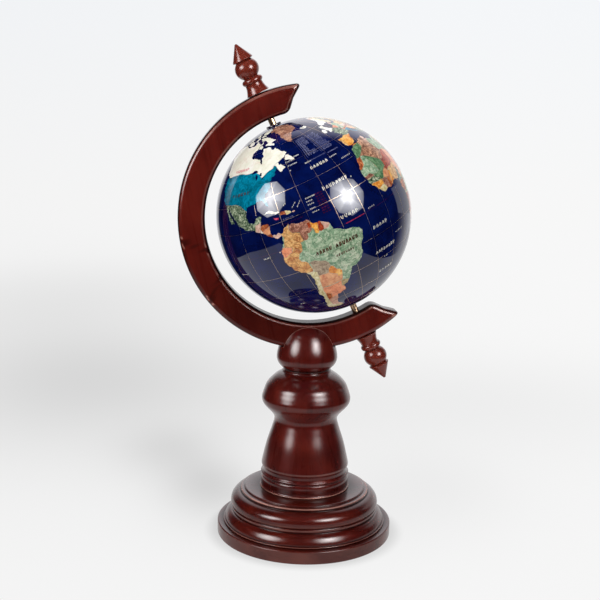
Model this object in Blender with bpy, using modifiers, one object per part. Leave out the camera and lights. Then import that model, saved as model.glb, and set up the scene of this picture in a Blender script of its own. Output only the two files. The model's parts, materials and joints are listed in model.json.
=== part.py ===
"""Desk globe: an inlaid stone globe in a C-shaped wooden arm on a turned wooden stand.

Metres, +Z up. The origin is on the axis of the turned stand, on the underside of its foot.
The arm lies in the XZ plane and opens towards +X. The pole axis leans towards -X at the top.
"""
import math

import bmesh
import bpy
from mathutils import Matrix, Vector

MM = 0.001
GAP = 0.3 * MM                      # clearance kept between touching pieces

# Globe and pole axis
GLOBE_RADIUS = 75 * MM              # a 150 mm stone globe
GLOBE_CENTRE = Vector((2.8, 0, 255.5)) * MM
POLE_TILT = math.radians(25)        # lean of the pole axis from the vertical, towards -X
POLE = Vector((-math.sin(POLE_TILT), 0, math.cos(POLE_TILT)))

# Meridian arm
ARM_CENTRE = Vector((0.85, 0, 253.9)) * MM
ARM_OUTER = 102.2 * MM
ARM_INNER = 81.6 * MM
ARM_THICKNESS = 19 * MM
ARM_EDGE = 4 * MM                   # rounding of the edges of its flat faces
ARM_CORNER = 0.55                   # share of that rounding given to the corners of its ends
ARM_PAST_POLE_INNER = math.radians(11.6)    # how far the arm runs on past the pole axis
ARM_PAST_POLE_OUTER = math.radians(19)
ARM_END_HOLLOW = 0.6 * MM           # the end faces are slightly dished
ARM_STEPS = 36

# Turned stand
BASE_STEPS = 52
COLUMN_STEPS = 32

# Finials
FINIAL_STEPS = 16
TOP_FINIAL_ASIDE = 0.9 * MM         # the upper one is seated this much towards -X
TOP_FINIAL_LEAN = math.radians(1.3)         # and leans this much further

# Pins and pole caps
PIN_RADIUS = 2.6 * MM
PIN_STEPS = 18
PIN_INTO_ARM = 9 * MM
PIN_INTO_GLOBE = 8 * MM
BORE_RADIUS = 2.9 * MM              # holes that the pins go into
BORE_TURN = math.radians(5)         # keeps a bore's corners off the globe's meridian edges
CAP_RADIUS = 6 * MM
CAP_THICKNESS = 1.0 * MM
CAP_CHAMFER = 0.35 * MM

WOOD = ("lacquered_wood", (0.075, 0.012, 0.009), 0.12, 0.0)
BRASS = ("polished_brass", (0.80, 0.56, 0.22), 0.18, 1.0)
LAPIS = ("polished_stone", (0.010, 0.017, 0.16), 0.06, 0.0)
CAP_STONE = ("dark_stone", (0.018, 0.010, 0.035), 0.15, 0.0)


def clear_scene():
    for thing in list(bpy.data.objects):
        bpy.data.objects.remove(thing, do_unlink=True)


def new_collection(name):
    collection = bpy.data.collections.new(name)
    bpy.context.scene.collection.children.link(collection)
    return collection


def material(spec):
    """A plain Principled material from (name, colour, roughness, metallic)."""
    name, colour, roughness, metallic = spec
    mat = bpy.data.materials.get(name)
    if mat is None:
        mat = bpy.data.materials.new(name)
        mat.use_nodes = True
        shader = mat.node_tree.nodes["Principled BSDF"]
        shader.inputs["Base Color"].default_value = (*colour, 1)
        shader.inputs["Roughness"].default_value = roughness
        shader.inputs["Metallic"].default_value = metallic
    return mat


def add_object(name, mesh, collection, finish=None):
    obj = bpy.data.objects.new(name, mesh)
    collection.objects.link(obj)
    if finish is not None:
        mesh.materials.append(material(finish))
    return obj


# ---------------------------------------------------------------- turned profiles

def arc(centre_r, centre_z, half_r, half_z, start, end, steps):
    """Points (radius, height) of an ellipse arc; angles in degrees from outwards towards up."""
    points = []
    for i in range(steps + 1):
        angle = math.radians(start + (end - start) * i / steps)
        points.append((centre_r + half_r * math.cos(angle), centre_z + half_z * math.sin(angle)))
    return points


def spline(keys, steps):
    """A Catmull-Rom curve through key points, with the given steps between two keys."""
    ends = [keys[0]] + list(keys) + [keys[-1]]
    points = [keys[0]]
    for before, start, end, after in zip(ends, ends[1:], ends[2:], ends[3:]):
        for step in range(1, steps + 1):
            t = step / steps
            points.append(tuple(
                0.5 * (2 * p + (q - o) * t + (2 * o - 5 * p + 4 * q - r) * t ** 2
                       + (3 * p - o - 3 * q + r) * t ** 3)
                for o, p, q, r in zip(before, start, end, after)))
    return points


def base_profile():
    """The stepped foot, top to bottom, in millimetres."""
    ledge = [(0, 38.2), (36.6, 38.2), (50.8, 36.8), (51.4, 36.4), (51.5, 35.1)]
    upper_round = arc(51.5, 26.2, 7.2, 8.8, 84, 0, 5) + [(58.7, 24.2), (58.0, 22.4)]
    lower_round = arc(58.6, 11.8, 5.3, 9.9, 86, 0, 5)
    plate = [(64.7, 11.5), (64.9, 10.7), (69.1, 10.6), (69.7, 10.0), (69.7, 0.6), (69.2, 0), (0, 0)]
    return ledge + upper_round + lower_round + plate


def column_profile():
    """The baluster, top to bottom, in millimetres: knob, neck, bulb, waist, skirt, rings, foot."""
    knob = spline([(0, 172.0), (11.7, 168.3), (19.6, 160), (23.6, 146), (23.0, 141.3),
                   (18.4, 138.3)], 2)
    neck = [(17.6, 135.6), (17.6, 134.5), (18.4, 133.8)]
    bulb_to_skirt = spline([(18.6, 132.8), (24.8, 128), (30.4, 122), (34.5, 113), (31.9, 105.8),
                            (26.1, 99.8), (24.1, 95.2), (26.1, 88), (33.1, 64), (34.3, 59.2)], 2)
    rings = ([(34.3, 57.8), (33.6, 56.8), (32.9, 55.6), (33.0, 54.4)]
             + arc(33.0, 52.9, 0.9, 1.3, 60, -60, 2)
             + arc(33.1, 47.6, 1.6, 3.6, 80, -80, 4))
    foot = [(34.1, 43.8), (35.2, 40.6), (35.9, 39.4), (35.5, 38.5), (0, 38.5)]
    return knob + neck + bulb_to_skirt + rings + foot


def finial_profile():
    """The finial from its point (top) down to the face that meets the arm, in millimetres."""
    cone = [(0, 38.8), (1.1, 37.5), (7.7, 25.8), (6.3, 24.9)]
    ball = arc(0, 18.8, 8.9, 8.15, 44, -50, 5)
    ring = [(5.3, 12.4)] + arc(5.7, 9.8, 2.3, 2.3, 60, -60, 3)
    foot = [(6.5, 7.0), (7.0, 3.7), (8.4, 0), (0, 0)]
    return cone + ball + ring + foot


def turned(name, profile, steps, collection, finish):
    """A solid of revolution: the profile, in millimetres, runs down its outer side at +X."""
    mesh = bpy.data.meshes.new(name)
    verts = [(radius * MM, 0, height * MM) for radius, height in profile]
    mesh.from_pydata(verts, [(i, i + 1) for i in range(len(verts) - 1)], [])
    obj = add_object(name, mesh, collection, finish)
    screw = obj.modifiers.new("Turn", "SCREW")
    screw.steps = steps
    screw.render_steps = steps
    screw.use_merge_vertices = True
    screw.merge_threshold = 0.0001 * MM
    return obj


def pole_frame(distance, flip=False):
    """A matrix with its origin on the pole axis, distance from the globe's centre.

    Its Z runs away from the globe: up the pole axis, or down it when flipped.
    """
    tilt = Matrix.Rotation(-POLE_TILT, 4, "Y")
    turn = Matrix.Rotation(math.pi, 4, "Y") if flip else Matrix.Identity(4)
    return Matrix.Translation(GLOBE_CENTRE) @ tilt @ turn @ Matrix.Translation((0, 0, distance))


def arm_distance(radius, flip):
    """Distance along the pole axis from the globe's centre to the arm's circle of this radius."""
    way = -POLE if flip else POLE
    offset = GLOBE_CENTRE - ARM_CENTRE
    along = offset.dot(way)
    return -along + math.sqrt(radius ** 2 - (offset.length_squared - along ** 2))


# ---------------------------------------------------------------- cutting

def cylinder(name, radius, depth, steps, matrix, collection):
    mesh = bpy.data.meshes.new(name)
    shape = bmesh.new()
    bmesh.ops.create_cone(shape, cap_ends=True, segments=steps, radius1=radius, radius2=radius,
                          depth=depth, matrix=matrix)
    shape.to_mesh(mesh)
    shape.free()
    return add_object(name, mesh, collection)


def cut(obj, cutter):
    cutter.hide_render = True
    cutter.display_type = "WIRE"
    boolean = obj.modifiers.new("Cut_" + cutter.name, "BOOLEAN")
    boolean.operation = "DIFFERENCE"
    boolean.solver = "EXACT"
    boolean.object = cutter


# ---------------------------------------------------------------- pieces

def make_base(collection):
    return turned("base", base_profile(), BASE_STEPS, collection, WOOD)


def make_column(collection, cutters):
    """The baluster, with a slot across its knob that grips the bottom of the arm."""
    column = turned("column", column_profile(), COLUMN_STEPS, collection, WOOD)
    across = Matrix.Translation(ARM_CENTRE) @ Matrix.Rotation(math.pi / 2, 4, "X")
    slot = cylinder("slot_cutter", ARM_OUTER + GAP, ARM_THICKNESS + 2 * GAP, 128, across, cutters)
    cut(column, slot)
    return column


def arm_row(share, depth):
    """Points across the arm at a share of its length: inner edge, middle and outer edge."""
    middle = 0.5 * (ARM_INNER + ARM_OUTER)
    past_middle = 0.5 * (ARM_PAST_POLE_INNER + ARM_PAST_POLE_OUTER) - ARM_END_HOLLOW / middle
    points = []
    for radius, past in ((ARM_INNER, ARM_PAST_POLE_INNER), (middle, past_middle),
                         (ARM_OUTER, ARM_PAST_POLE_OUTER)):
        start = math.pi / 2 + POLE_TILT - past
        end = 3 * math.pi / 2 + POLE_TILT + past
        angle = start + (end - start) * share
        across = Vector((math.cos(angle), 0, math.sin(angle))) * radius
        points.append(ARM_CENTRE + across + Vector((0, depth, 0)))
    return points


def make_arm(collection, cutters):
    """The C-shaped arm: a flat bar between two arcs, with rounded edges and pin holes."""
    mesh = bpy.data.meshes.new("arm")
    bar = bmesh.new()
    weight = bar.edges.layers.float.new("bevel_weight_edge")
    front, back = [[[bar.verts.new(point) for point in arm_row(i / ARM_STEPS, depth)]
                    for i in range(ARM_STEPS + 1)]
                   for depth in (-ARM_THICKNESS / 2, ARM_THICKNESS / 2)]
    for rows, facing in ((front, 1), (back, -1)):
        for row, after in zip(rows, rows[1:]):
            for a, b, c, d in zip(row, row[1:], after[1:], after):
                bar.faces.new((a, b, c, d)[::facing])
    for rim in (0, -1):
        line = [row[rim] for row in front]
        behind = [row[rim] for row in back]
        for a, b, c, d in zip(line, line[1:], behind[1:], behind):
            bar.faces.new((a, b, c, d))
    for end in (0, -1):
        for a, b, c, d in zip(front[end], front[end][1:], back[end][1:], back[end]):
            bar.faces.new((a, b, c, d))
    bmesh.ops.recalc_face_normals(bar, faces=bar.faces)
    for rows in (front, back):
        outline = ([row[0] for row in rows] + rows[-1][1:2]
                   + [row[-1] for row in reversed(rows)] + rows[0][1:2])
        for a, b in zip(outline, outline[1:] + outline[:1]):
            bar.edges.get((a, b))[weight] = 1
    for end in (0, -1):
        for side in (0, -1):
            bar.edges.get((front[end][side], back[end][side]))[weight] = ARM_CORNER
    bar.to_mesh(mesh)
    bar.free()
    arm = add_object("arm", mesh, collection, WOOD)
    rounding = arm.modifiers.new("Edges", "BEVEL")
    rounding.width = ARM_EDGE
    rounding.segments = 2
    rounding.limit_method = "WEIGHT"
    for flip in (False, True):
        inner = arm_distance(ARM_INNER, flip)
        depth = PIN_INTO_ARM + 2 * GAP
        bore = cylinder("arm_bore_bottom" if flip else "arm_bore_top", BORE_RADIUS, 2 * depth,
                        PIN_STEPS, pole_frame(inner, flip), cutters)
        cut(arm, bore)
    return arm


def make_finials(collection):
    """The finials stand on the arm in line with the pins, the upper one a little off it."""
    for name, flip, aside, lean in (("finial_top", False, TOP_FINIAL_ASIDE, TOP_FINIAL_LEAN),
                                    ("finial_bottom", True, 0, 0)):
        finial = turned(name, finial_profile(), FINIAL_STEPS, collection, WOOD)
        seat = pole_frame(arm_distance(ARM_OUTER, flip) + GAP, flip)
        finial.matrix_world = (seat @ Matrix.Translation((-aside, 0, 0))
                               @ Matrix.Rotation(-lean, 4, "Y"))


def make_pins(collection):
    """Two brass pins, each seated in the arm and reaching into the globe."""
    for name, flip in (("pin_top", False), ("pin_bottom", True)):
        inner_end = GLOBE_RADIUS - PIN_INTO_GLOBE
        outer_end = arm_distance(ARM_INNER, flip) + PIN_INTO_ARM
        length = outer_end - inner_end
        pin = cylinder(name, PIN_RADIUS, length, PIN_STEPS, Matrix.Identity(4), collection)
        pin.data.materials.append(material(BRASS))
        pin.matrix_world = pole_frame(inner_end + length / 2, flip)


def make_globe(collection, cutters):
    """The globe and the two caps turn together on the pins."""
    pivot = bpy.data.objects.new("globe_pivot", None)
    collection.objects.link(pivot)
    pivot.matrix_world = pole_frame(0)
    mesh = bpy.data.meshes.new("globe")
    ball = bmesh.new()
    bmesh.ops.create_uvsphere(ball, u_segments=36, v_segments=20, radius=GLOBE_RADIUS)
    ball.to_mesh(mesh)
    ball.free()
    globe = add_object("globe", mesh, collection, LAPIS)
    globe.parent = pivot
    for name, side in (("globe_bore_north", 1), ("globe_bore_south", -1)):
        depth = PIN_INTO_GLOBE + 2 * GAP
        place = (Matrix.Translation((0, 0, side * GLOBE_RADIUS))
                 @ Matrix.Rotation(BORE_TURN, 4, "Z"))
        bore = cylinder(name, BORE_RADIUS, 2 * depth, PIN_STEPS, place, cutters)
        bore.parent = pivot
        cut(globe, bore)
    for name, side in (("pole_cap_north", 1), ("pole_cap_south", -1)):
        hole = BORE_RADIUS / MM
        rim = CAP_RADIUS / MM
        top = CAP_THICKNESS / MM
        chamfer = CAP_CHAMFER / MM
        profile = [(hole, top), (rim - chamfer, top), (rim, top - chamfer), (rim, 0), (hole, 0),
                   (hole, top)]
        cap = turned(name, profile, PIN_STEPS, collection, CAP_STONE)
        cap.parent = pivot
        turn = Matrix.Identity(4) if side > 0 else Matrix.Rotation(math.pi, 4, "X")
        height = side * (GLOBE_RADIUS + GAP)
        cap.matrix_local = Matrix.Translation((0, 0, height)) @ turn


def smooth(collection):
    for obj in collection.objects:
        if obj.type == "MESH":
            obj.data.shade_smooth()
            obj.data.set_sharp_from_angle(angle=math.radians(35))


def main():
    clear_scene()
    pieces = new_collection("desk_globe")
    cutters = new_collection("cutters")
    make_base(pieces)
    make_column(pieces, cutters)
    make_arm(pieces, cutters)
    make_finials(pieces)
    make_pins(pieces)
    make_globe(pieces, cutters)
    smooth(pieces)


main()
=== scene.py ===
"""Desk globe: an inlaid stone globe in a C-shaped wooden arm on a turned, lacquered stand.

Metres, +Z up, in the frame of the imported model. Every CAD solid is shown by a finer piece of
the same size: turned wood, the bent arm, brass pins, pole caps and the inlaid ball.
"""
import json
import math
import random

import bmesh
import bpy
import numpy as np
from mathutils import Matrix, Vector, kdtree
from mathutils.geometry import delaunay_2d_cdt


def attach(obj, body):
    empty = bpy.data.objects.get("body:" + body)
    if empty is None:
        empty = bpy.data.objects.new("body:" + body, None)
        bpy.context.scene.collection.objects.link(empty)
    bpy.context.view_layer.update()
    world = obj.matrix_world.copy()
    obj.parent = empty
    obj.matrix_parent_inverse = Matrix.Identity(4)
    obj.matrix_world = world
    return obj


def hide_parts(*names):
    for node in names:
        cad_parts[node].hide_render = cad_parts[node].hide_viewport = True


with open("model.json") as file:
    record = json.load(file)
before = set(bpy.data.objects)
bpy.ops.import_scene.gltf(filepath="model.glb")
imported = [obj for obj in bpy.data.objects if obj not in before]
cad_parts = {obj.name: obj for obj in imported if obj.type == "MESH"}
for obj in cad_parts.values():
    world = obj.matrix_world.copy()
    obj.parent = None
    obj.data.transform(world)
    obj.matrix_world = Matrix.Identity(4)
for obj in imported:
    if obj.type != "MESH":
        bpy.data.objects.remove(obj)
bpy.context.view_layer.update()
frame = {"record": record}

MM = 0.001
WHITE = (1, 1, 1, 1)

# ------------------------------ sizes, as in the solids
SPIN = frame["record"]["behaviour"]["joints"][0]
GLOBE_CENTRE = Vector(SPIN["pos_m"])
POLE = Vector(SPIN["axis"]).normalized()
POLE_TILT = math.atan2(-POLE.x, POLE.z)
GLOBE_RADIUS = 75 * MM
ARM_CENTRE = Vector((0.85, 0, 253.9)) * MM
ARM_OUTER = 102.2 * MM
ARM_INNER = 81.6 * MM
ARM_THICKNESS = 19 * MM
ARM_EDGE = 4 * MM                    # radius of its rounded edges
ARM_PAST_POLE_INNER = math.radians(11.6)
ARM_PAST_POLE_OUTER = math.radians(19.4)
GAP = 0.3 * MM                       # between the arm and its slot, and under the finials
SLOT_FOOT = 139.5 * MM
PIN_RADIUS = 2.6 * MM
PIN_INTO_ARM = 9 * MM
PIN_INTO_GLOBE = 8 * MM
BORE_RADIUS = 2.9 * MM
CAP_RADIUS = 6 * MM
CAP_THICKNESS = 1.0 * MM
CAP_CHAMFER = 0.35 * MM
TOP_FINIAL_ASIDE = 0.9 * MM
TOP_FINIAL_LEAN = math.radians(1.3)


# ------------------------------ small helpers

def rgb(red, green, blue):
    """A linear colour from a screen colour, 0 to 255."""
    def linear(value):
        value /= 255
        return value / 12.92 if value <= 0.04045 else ((value + 0.055) / 1.055) ** 2.4
    return (linear(red), linear(green), linear(blue), 1)


def feed(tree, made, inputs):
    """Gives each input, by its name or number, a value or a link from another socket."""
    for key, value in inputs.items():
        if isinstance(value, bpy.types.NodeSocket):
            tree.links.new(value, made.inputs[key])
        else:
            made.inputs[key].default_value = value


def node(tree, kind, inputs=None, **settings):
    """Adds a node with its settings and its inputs."""
    made = tree.nodes.new(kind)
    for key, value in settings.items():
        setattr(made, key, value)
    feed(tree, made, inputs or {})
    return made


# The sockets of a Mix node that carry colours; others beside them have the same names
MIX_SHARE, MIX_FIRST, MIX_SECOND, MIX_RESULT = 0, 6, 7, 2


def blend(tree, share, first, second):
    """A colour that goes from the first to the second as share goes from 0 to 1."""
    made = node(tree, "ShaderNodeMix", {MIX_SHARE: share, MIX_FIRST: first, MIX_SECOND: second},
                data_type="RGBA")
    return made.outputs[MIX_RESULT]


def ranged(tree, value, old=(0, 1), new=(0, 1), kind="LINEAR"):
    """Carries a value from an old range to a new one and holds it there."""
    made = node(tree, "ShaderNodeMapRange",
                {"Value": value, "From Min": old[0], "From Max": old[1],
                 "To Min": new[0], "To Max": new[1]}, interpolation_type=kind)
    return made.outputs[0]


def maths(tree, operation, *values):
    """The result of an operation on one or two numbers or sockets."""
    made = node(tree, "ShaderNodeMath", dict(enumerate(values)), operation=operation)
    return made.outputs[0]


def vector_maths(tree, operation, *values, result=0):
    """The same for vectors; a length or a product is asked for as the result "Value"."""
    made = node(tree, "ShaderNodeVectorMath", dict(enumerate(values)), operation=operation)
    return made.outputs[result]


def noise(tree, vector, scale, detail, **inputs):
    """A soft random value from 0 to 1, repeating about scale times in a metre."""
    made = node(tree, "ShaderNodeTexNoise",
                {"Vector": vector, "Scale": scale, "Detail": detail, **inputs})
    return made.outputs[0]


def new_group(name, kind, inputs, outputs):
    """A node group with named sockets; returns it with its input and output nodes."""
    group = bpy.data.node_groups.new(name, kind)
    for label, socket, default in inputs:
        made = group.interface.new_socket(label, in_out="INPUT", socket_type=socket)
        if default is not None:
            made.default_value = default
    for label, socket in outputs:
        group.interface.new_socket(label, in_out="OUTPUT", socket_type=socket)
    return group, group.nodes.new("NodeGroupInput"), group.nodes.new("NodeGroupOutput")


def new_shape_tree(name, inputs):
    """A Geometry Nodes tree with geometry in and out, named inputs and a finish."""
    return new_group(name, "GeometryNodeTree",
                     [("Geometry", "NodeSocketGeometry", None), *inputs,
                      ("Finish", "NodeSocketMaterial", None)],
                     [("Geometry", "NodeSocketGeometry")])


def hand_out(tree, entry, leave, made):
    """Ends a Geometry Nodes tree: real geometry with its finish on."""
    real = node(tree, "GeometryNodeRealizeInstances", {"Geometry": made.outputs[0]})
    finished = node(tree, "GeometryNodeSetMaterial",
                    {"Geometry": real.outputs[0], "Material": entry.outputs["Finish"]})
    feed(tree, leave, {"Geometry": finished.outputs[0]})


def piece_from(name, data):
    """Puts a mesh, a lamp or a camera into the scene."""
    obj = bpy.data.objects.new(name, data)
    bpy.context.scene.collection.objects.link(obj)
    return obj


def baked(obj):
    """Turns an object's evaluated result into a plain mesh and drops its modifiers."""
    graph = bpy.context.evaluated_depsgraph_get()
    mesh = bpy.data.meshes.new_from_object(obj.evaluated_get(graph))
    mesh.name = obj.name
    obj.modifiers.clear()
    obj.data = mesh
    return obj


def through(obj, tree, values):
    """Runs an object through a Geometry Nodes tree with named inputs and keeps the result."""
    modifier = obj.modifiers.new(tree.name, "NODES")
    modifier.node_group = tree
    for item in tree.interface.items_tree:
        if item.item_type == "SOCKET" and item.in_out == "INPUT" and item.name in values:
            modifier[item.identifier] = values[item.name]
    return baked(obj)


def place(obj, matrix):
    """Moves a piece by its mesh, so that its object stays at the origin."""
    obj.data.transform(matrix)
    if matrix.determinant() < 0:
        obj.data.flip_normals()
    return obj


def add_field(mesh, name, values):
    """Writes one number per vertex under a name that a material can read."""
    field = mesh.attributes.new(name, "FLOAT", "POINT")
    field.data.foreach_set("value", values)


def settle(obj, body, slot, *nodes):
    """Hands a piece over: the body it rides on, its colour slot (not used) and the solid it replaces.
    """
    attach(obj, body)
    if nodes:
        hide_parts(*nodes)


# ------------------------------ finishes

# Each noise in the wood: how often it repeats in a metre (x, y, z), detail and distortion
GRAIN = {"Streaks": ((150, 150, 9), 4, 0.5), "Pores": ((900, 900, 40), 3, 0.2),
         "Cloud": ((38, 38, 22), 3, 0.8)}


def wood_grain_group():
    """Streaks and pores of close-grained wood, running along Z of the vector that it is given."""
    group, entry, leave = new_group(
        "wood_grain", "ShaderNodeTree",
        [("Vector", "NodeSocketVector", None), ("Streak Size", "NodeSocketFloat", 1.0)],
        [(name, "NodeSocketFloat") for name in GRAIN])
    scaled = node(group, "ShaderNodeVectorMath",
                  {0: entry.outputs["Vector"], "Scale": entry.outputs["Streak Size"]},
                  operation="SCALE")
    for name, (stretch, detail, distortion) in GRAIN.items():
        mapping = node(group, "ShaderNodeMapping",
                       {"Vector": scaled.outputs[0], "Scale": stretch})
        drawn = noise(group, mapping.outputs[0], 1.0, detail, Distortion=distortion)
        feed(group, leave, {name: drawn})
    return group


STONE_NUMBERS = ("Patch Scale", "Vein Scale", "Vein Width", "Vein Amount", "Fleck Amount")
STONE_COLOURS = ("Main", "Light", "Dark", "Vein")
PATCH_NOISE = dict(Roughness=0.62, Distortion=1.2)
VEIN_NOISE = dict(Distortion=2.0)
FLECK_SCALE = 1500.0
# Where the patches and flecks start and are full, on the noise that draws them
LIGHT_PATCHES, DARK_PATCHES, FLECKS = (0.5, 0.63), (0.5, 0.37), (0.56, 0.68)


def stone_group():
    """Mottled stone: cloudy patches of three colours, fine flecks and thin wandering veins."""
    group, entry, leave = new_group(
        "mottled_stone", "ShaderNodeTree",
        [("Vector", "NodeSocketVector", None)]
        + [(label, "NodeSocketFloat", None) for label in STONE_NUMBERS]
        + [(label, "NodeSocketColor", None) for label in STONE_COLOURS],
        [("Color", "NodeSocketColor"), ("Mask", "NodeSocketFloat")])
    given = entry.outputs
    patches = noise(group, given["Vector"], given["Patch Scale"], 6, **PATCH_NOISE)
    colour = blend(group, ranged(group, patches, LIGHT_PATCHES), given["Main"],
                   given["Light"])
    colour = blend(group, ranged(group, patches, DARK_PATCHES), colour, given["Dark"])
    bend = noise(group, given["Vector"], given["Vein Scale"], 4, **VEIN_NOISE)
    from_vein = maths(group, "ABSOLUTE", maths(group, "SUBTRACT", bend, 0.5))
    vein = ranged(group, from_vein, (0, given["Vein Width"]), (1, 0))
    vein = maths(group, "MULTIPLY", vein, given["Vein Amount"])
    colour = blend(group, vein, colour, given["Vein"])
    fleck = ranged(group, noise(group, given["Vector"], FLECK_SCALE, 2), FLECKS)
    fleck = maths(group, "MULTIPLY", fleck, given["Fleck Amount"])
    colour = blend(group, fleck, colour, given["Light"])
    feed(group, leave, {"Color": colour, "Mask": patches})
    return group


WOOD_GRAIN = wood_grain_group()
STONE = stone_group()


def new_material(name):
    """A material with its tree, its Principled shader and a texture coordinate node."""
    made = bpy.data.materials.new(name)
    made.use_nodes = True
    tree = made.node_tree
    return made, tree, tree.nodes["Principled BSDF"], tree.nodes.new("ShaderNodeTexCoord")


PORE_COLOUR = rgb(26, 5, 4)
# Painted shade that gathers in crevices, and a pinkish painted sheen on rubbed edges
DIRT_SHADE_COLOUR = rgb(16, 5, 4)
RUBBED_SHEEN_COLOUR = rgb(190, 138, 124)
# Where each effect in the wood starts and is full, on the noise or the paint that drives it
STREAKS, CLOUDS, PORES = (0.3, 0.7), (0.42, 0.75), (0.58, 0.74)
DIRT_SHADE, RUBBED_SHEEN, RUBBED_SHEEN_PATCHES = (-0.1, -0.9), (0.1, 1.0), (0.38, 0.62)
CLOUD_AMOUNT, DIRT_SHADE_AMOUNT, RUBBED_SHEEN_AMOUNT = 0.75, 0.9, 0.8
RUBBED_SHEEN_UNEVEN = (0.45, 1.15)
WOOD_ROUGHNESS = (0.24, 0.32)
LACQUER_FULL, LACQUER_IN_DIRT_SHADE = 0.78, 0.06
LACQUER_KEPT_ON_EDGES = 0.4
RIPPLE = {"Strength": 0.02, "Distance": 2 * MM}


def wood_colour(tree, grain, wear_shade_sheen, dark, red, warm, pores):
    """The stained wood's colour with painted shade in crevices and painted sheen on rubbed edges, and
    how much of each it has at each place.
    """
    colour = blend(tree, ranged(tree, grain["Streaks"], STREAKS), rgb(*dark), rgb(*red))
    cloud = ranged(tree, grain["Cloud"], CLOUDS, (0, CLOUD_AMOUNT))
    colour = blend(tree, cloud, colour, rgb(*warm))
    pore = ranged(tree, grain["Pores"], PORES, (0, pores))
    colour = blend(tree, pore, colour, PORE_COLOUR)
    dirt_shade = ranged(tree, wear_shade_sheen, DIRT_SHADE, (0, DIRT_SHADE_AMOUNT))
    colour = blend(tree, dirt_shade, colour, DIRT_SHADE_COLOUR)
    edge = ranged(tree, wear_shade_sheen, RUBBED_SHEEN, (0, RUBBED_SHEEN_AMOUNT))
    patchy = ranged(tree, grain["Cloud"], RUBBED_SHEEN_PATCHES, RUBBED_SHEEN_UNEVEN)
    # rubbed is the painted sheen on the rubbed edges
    rubbed = maths(tree, "MULTIPLY", edge, patchy)
    return blend(tree, rubbed, colour, RUBBED_SHEEN_COLOUR), dirt_shade, rubbed


def lacquered_wood(name, turn=(0, 0, 0), dark=(56, 10, 7), red=(76, 15, 11), warm=(95, 28, 18),
                   pores=0.35, fineness=1.0):
    """Dark red stained wood under clear gloss lacquer; turn lays the grain along the piece."""
    made, tree, shader, coords = new_material(name)
    laid = node(tree, "ShaderNodeMapping", {"Vector": coords.outputs["Object"],
                                            "Rotation": turn})
    grain = node(tree, "ShaderNodeGroup", {"Vector": laid.outputs[0], "Streak Size": fineness},
                 node_tree=WOOD_GRAIN).outputs
    # The painted field holds painted shade in crevices (below nought) and painted sheen on edges (above
    # nought)
    wear_shade_sheen = node(tree, "ShaderNodeAttribute", attribute_name="wear_shade_sheen").outputs["Fac"]
    colour, dirt_shade, rubbed = wood_colour(tree, grain, wear_shade_sheen, dark, red, warm, pores)
    gloss = ranged(tree, dirt_shade, new=(LACQUER_FULL, LACQUER_IN_DIRT_SHADE))
    kept = ranged(tree, rubbed, new=(1, LACQUER_KEPT_ON_EDGES))
    ripple = node(tree, "ShaderNodeBump", {"Height": grain["Cloud"], **RIPPLE})
    feed(tree, shader, {"Base Color": colour,
                        "Roughness": ranged(tree, grain["Streaks"], new=WOOD_ROUGHNESS),
                        "Coat Weight": maths(tree, "MULTIPLY", gloss, kept),
                        "Normal": ripple.outputs[0],
                        "Coat Roughness": 0.2, "Specular IOR Level": 0.06})
    return made


STONE_IOR = 1.52
STONE_DULLING = 0.03                 # how much duller a stone gets across its patches
RUBBED_SPOTS = 700.0                 # spots in a metre of polished metal
METAL_DULLING = 0.12


def stone(name, colours, patch=110, vein_scale=70, width=0.03, veins=0.5, flecks=0.25,
          rough=0.03):
    """A polished stone: mottled colour under a mirror polish."""
    made, tree, shader, coords = new_material(name)
    numbers = zip(STONE_NUMBERS, (patch, vein_scale, width, veins, flecks))
    colours = zip(STONE_COLOURS, (rgb(*colour) for colour in colours))
    body = node(tree, "ShaderNodeGroup", {"Vector": coords.outputs["Object"],
                                          **dict(numbers), **dict(colours)},
                node_tree=STONE).outputs
    polish = ranged(tree, body["Mask"], new=(rough, rough + STONE_DULLING))
    feed(tree, shader, {"Base Color": body["Color"], "Roughness": polish, "IOR": STONE_IOR})
    return made


def metal(name, colour, dull, roughness):
    """Polished metal with a faint change of tone where it has been rubbed."""
    made, tree, shader, coords = new_material(name)
    rubbed = noise(tree, coords.outputs["Object"], RUBBED_SPOTS, 3)
    polish = ranged(tree, rubbed, new=(roughness, roughness + METAL_DULLING))
    feed(tree, shader, {"Base Color": blend(tree, rubbed, rgb(*colour), rgb(*dull)),
                        "Roughness": polish, "Metallic": 1.0})
    return made


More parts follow.
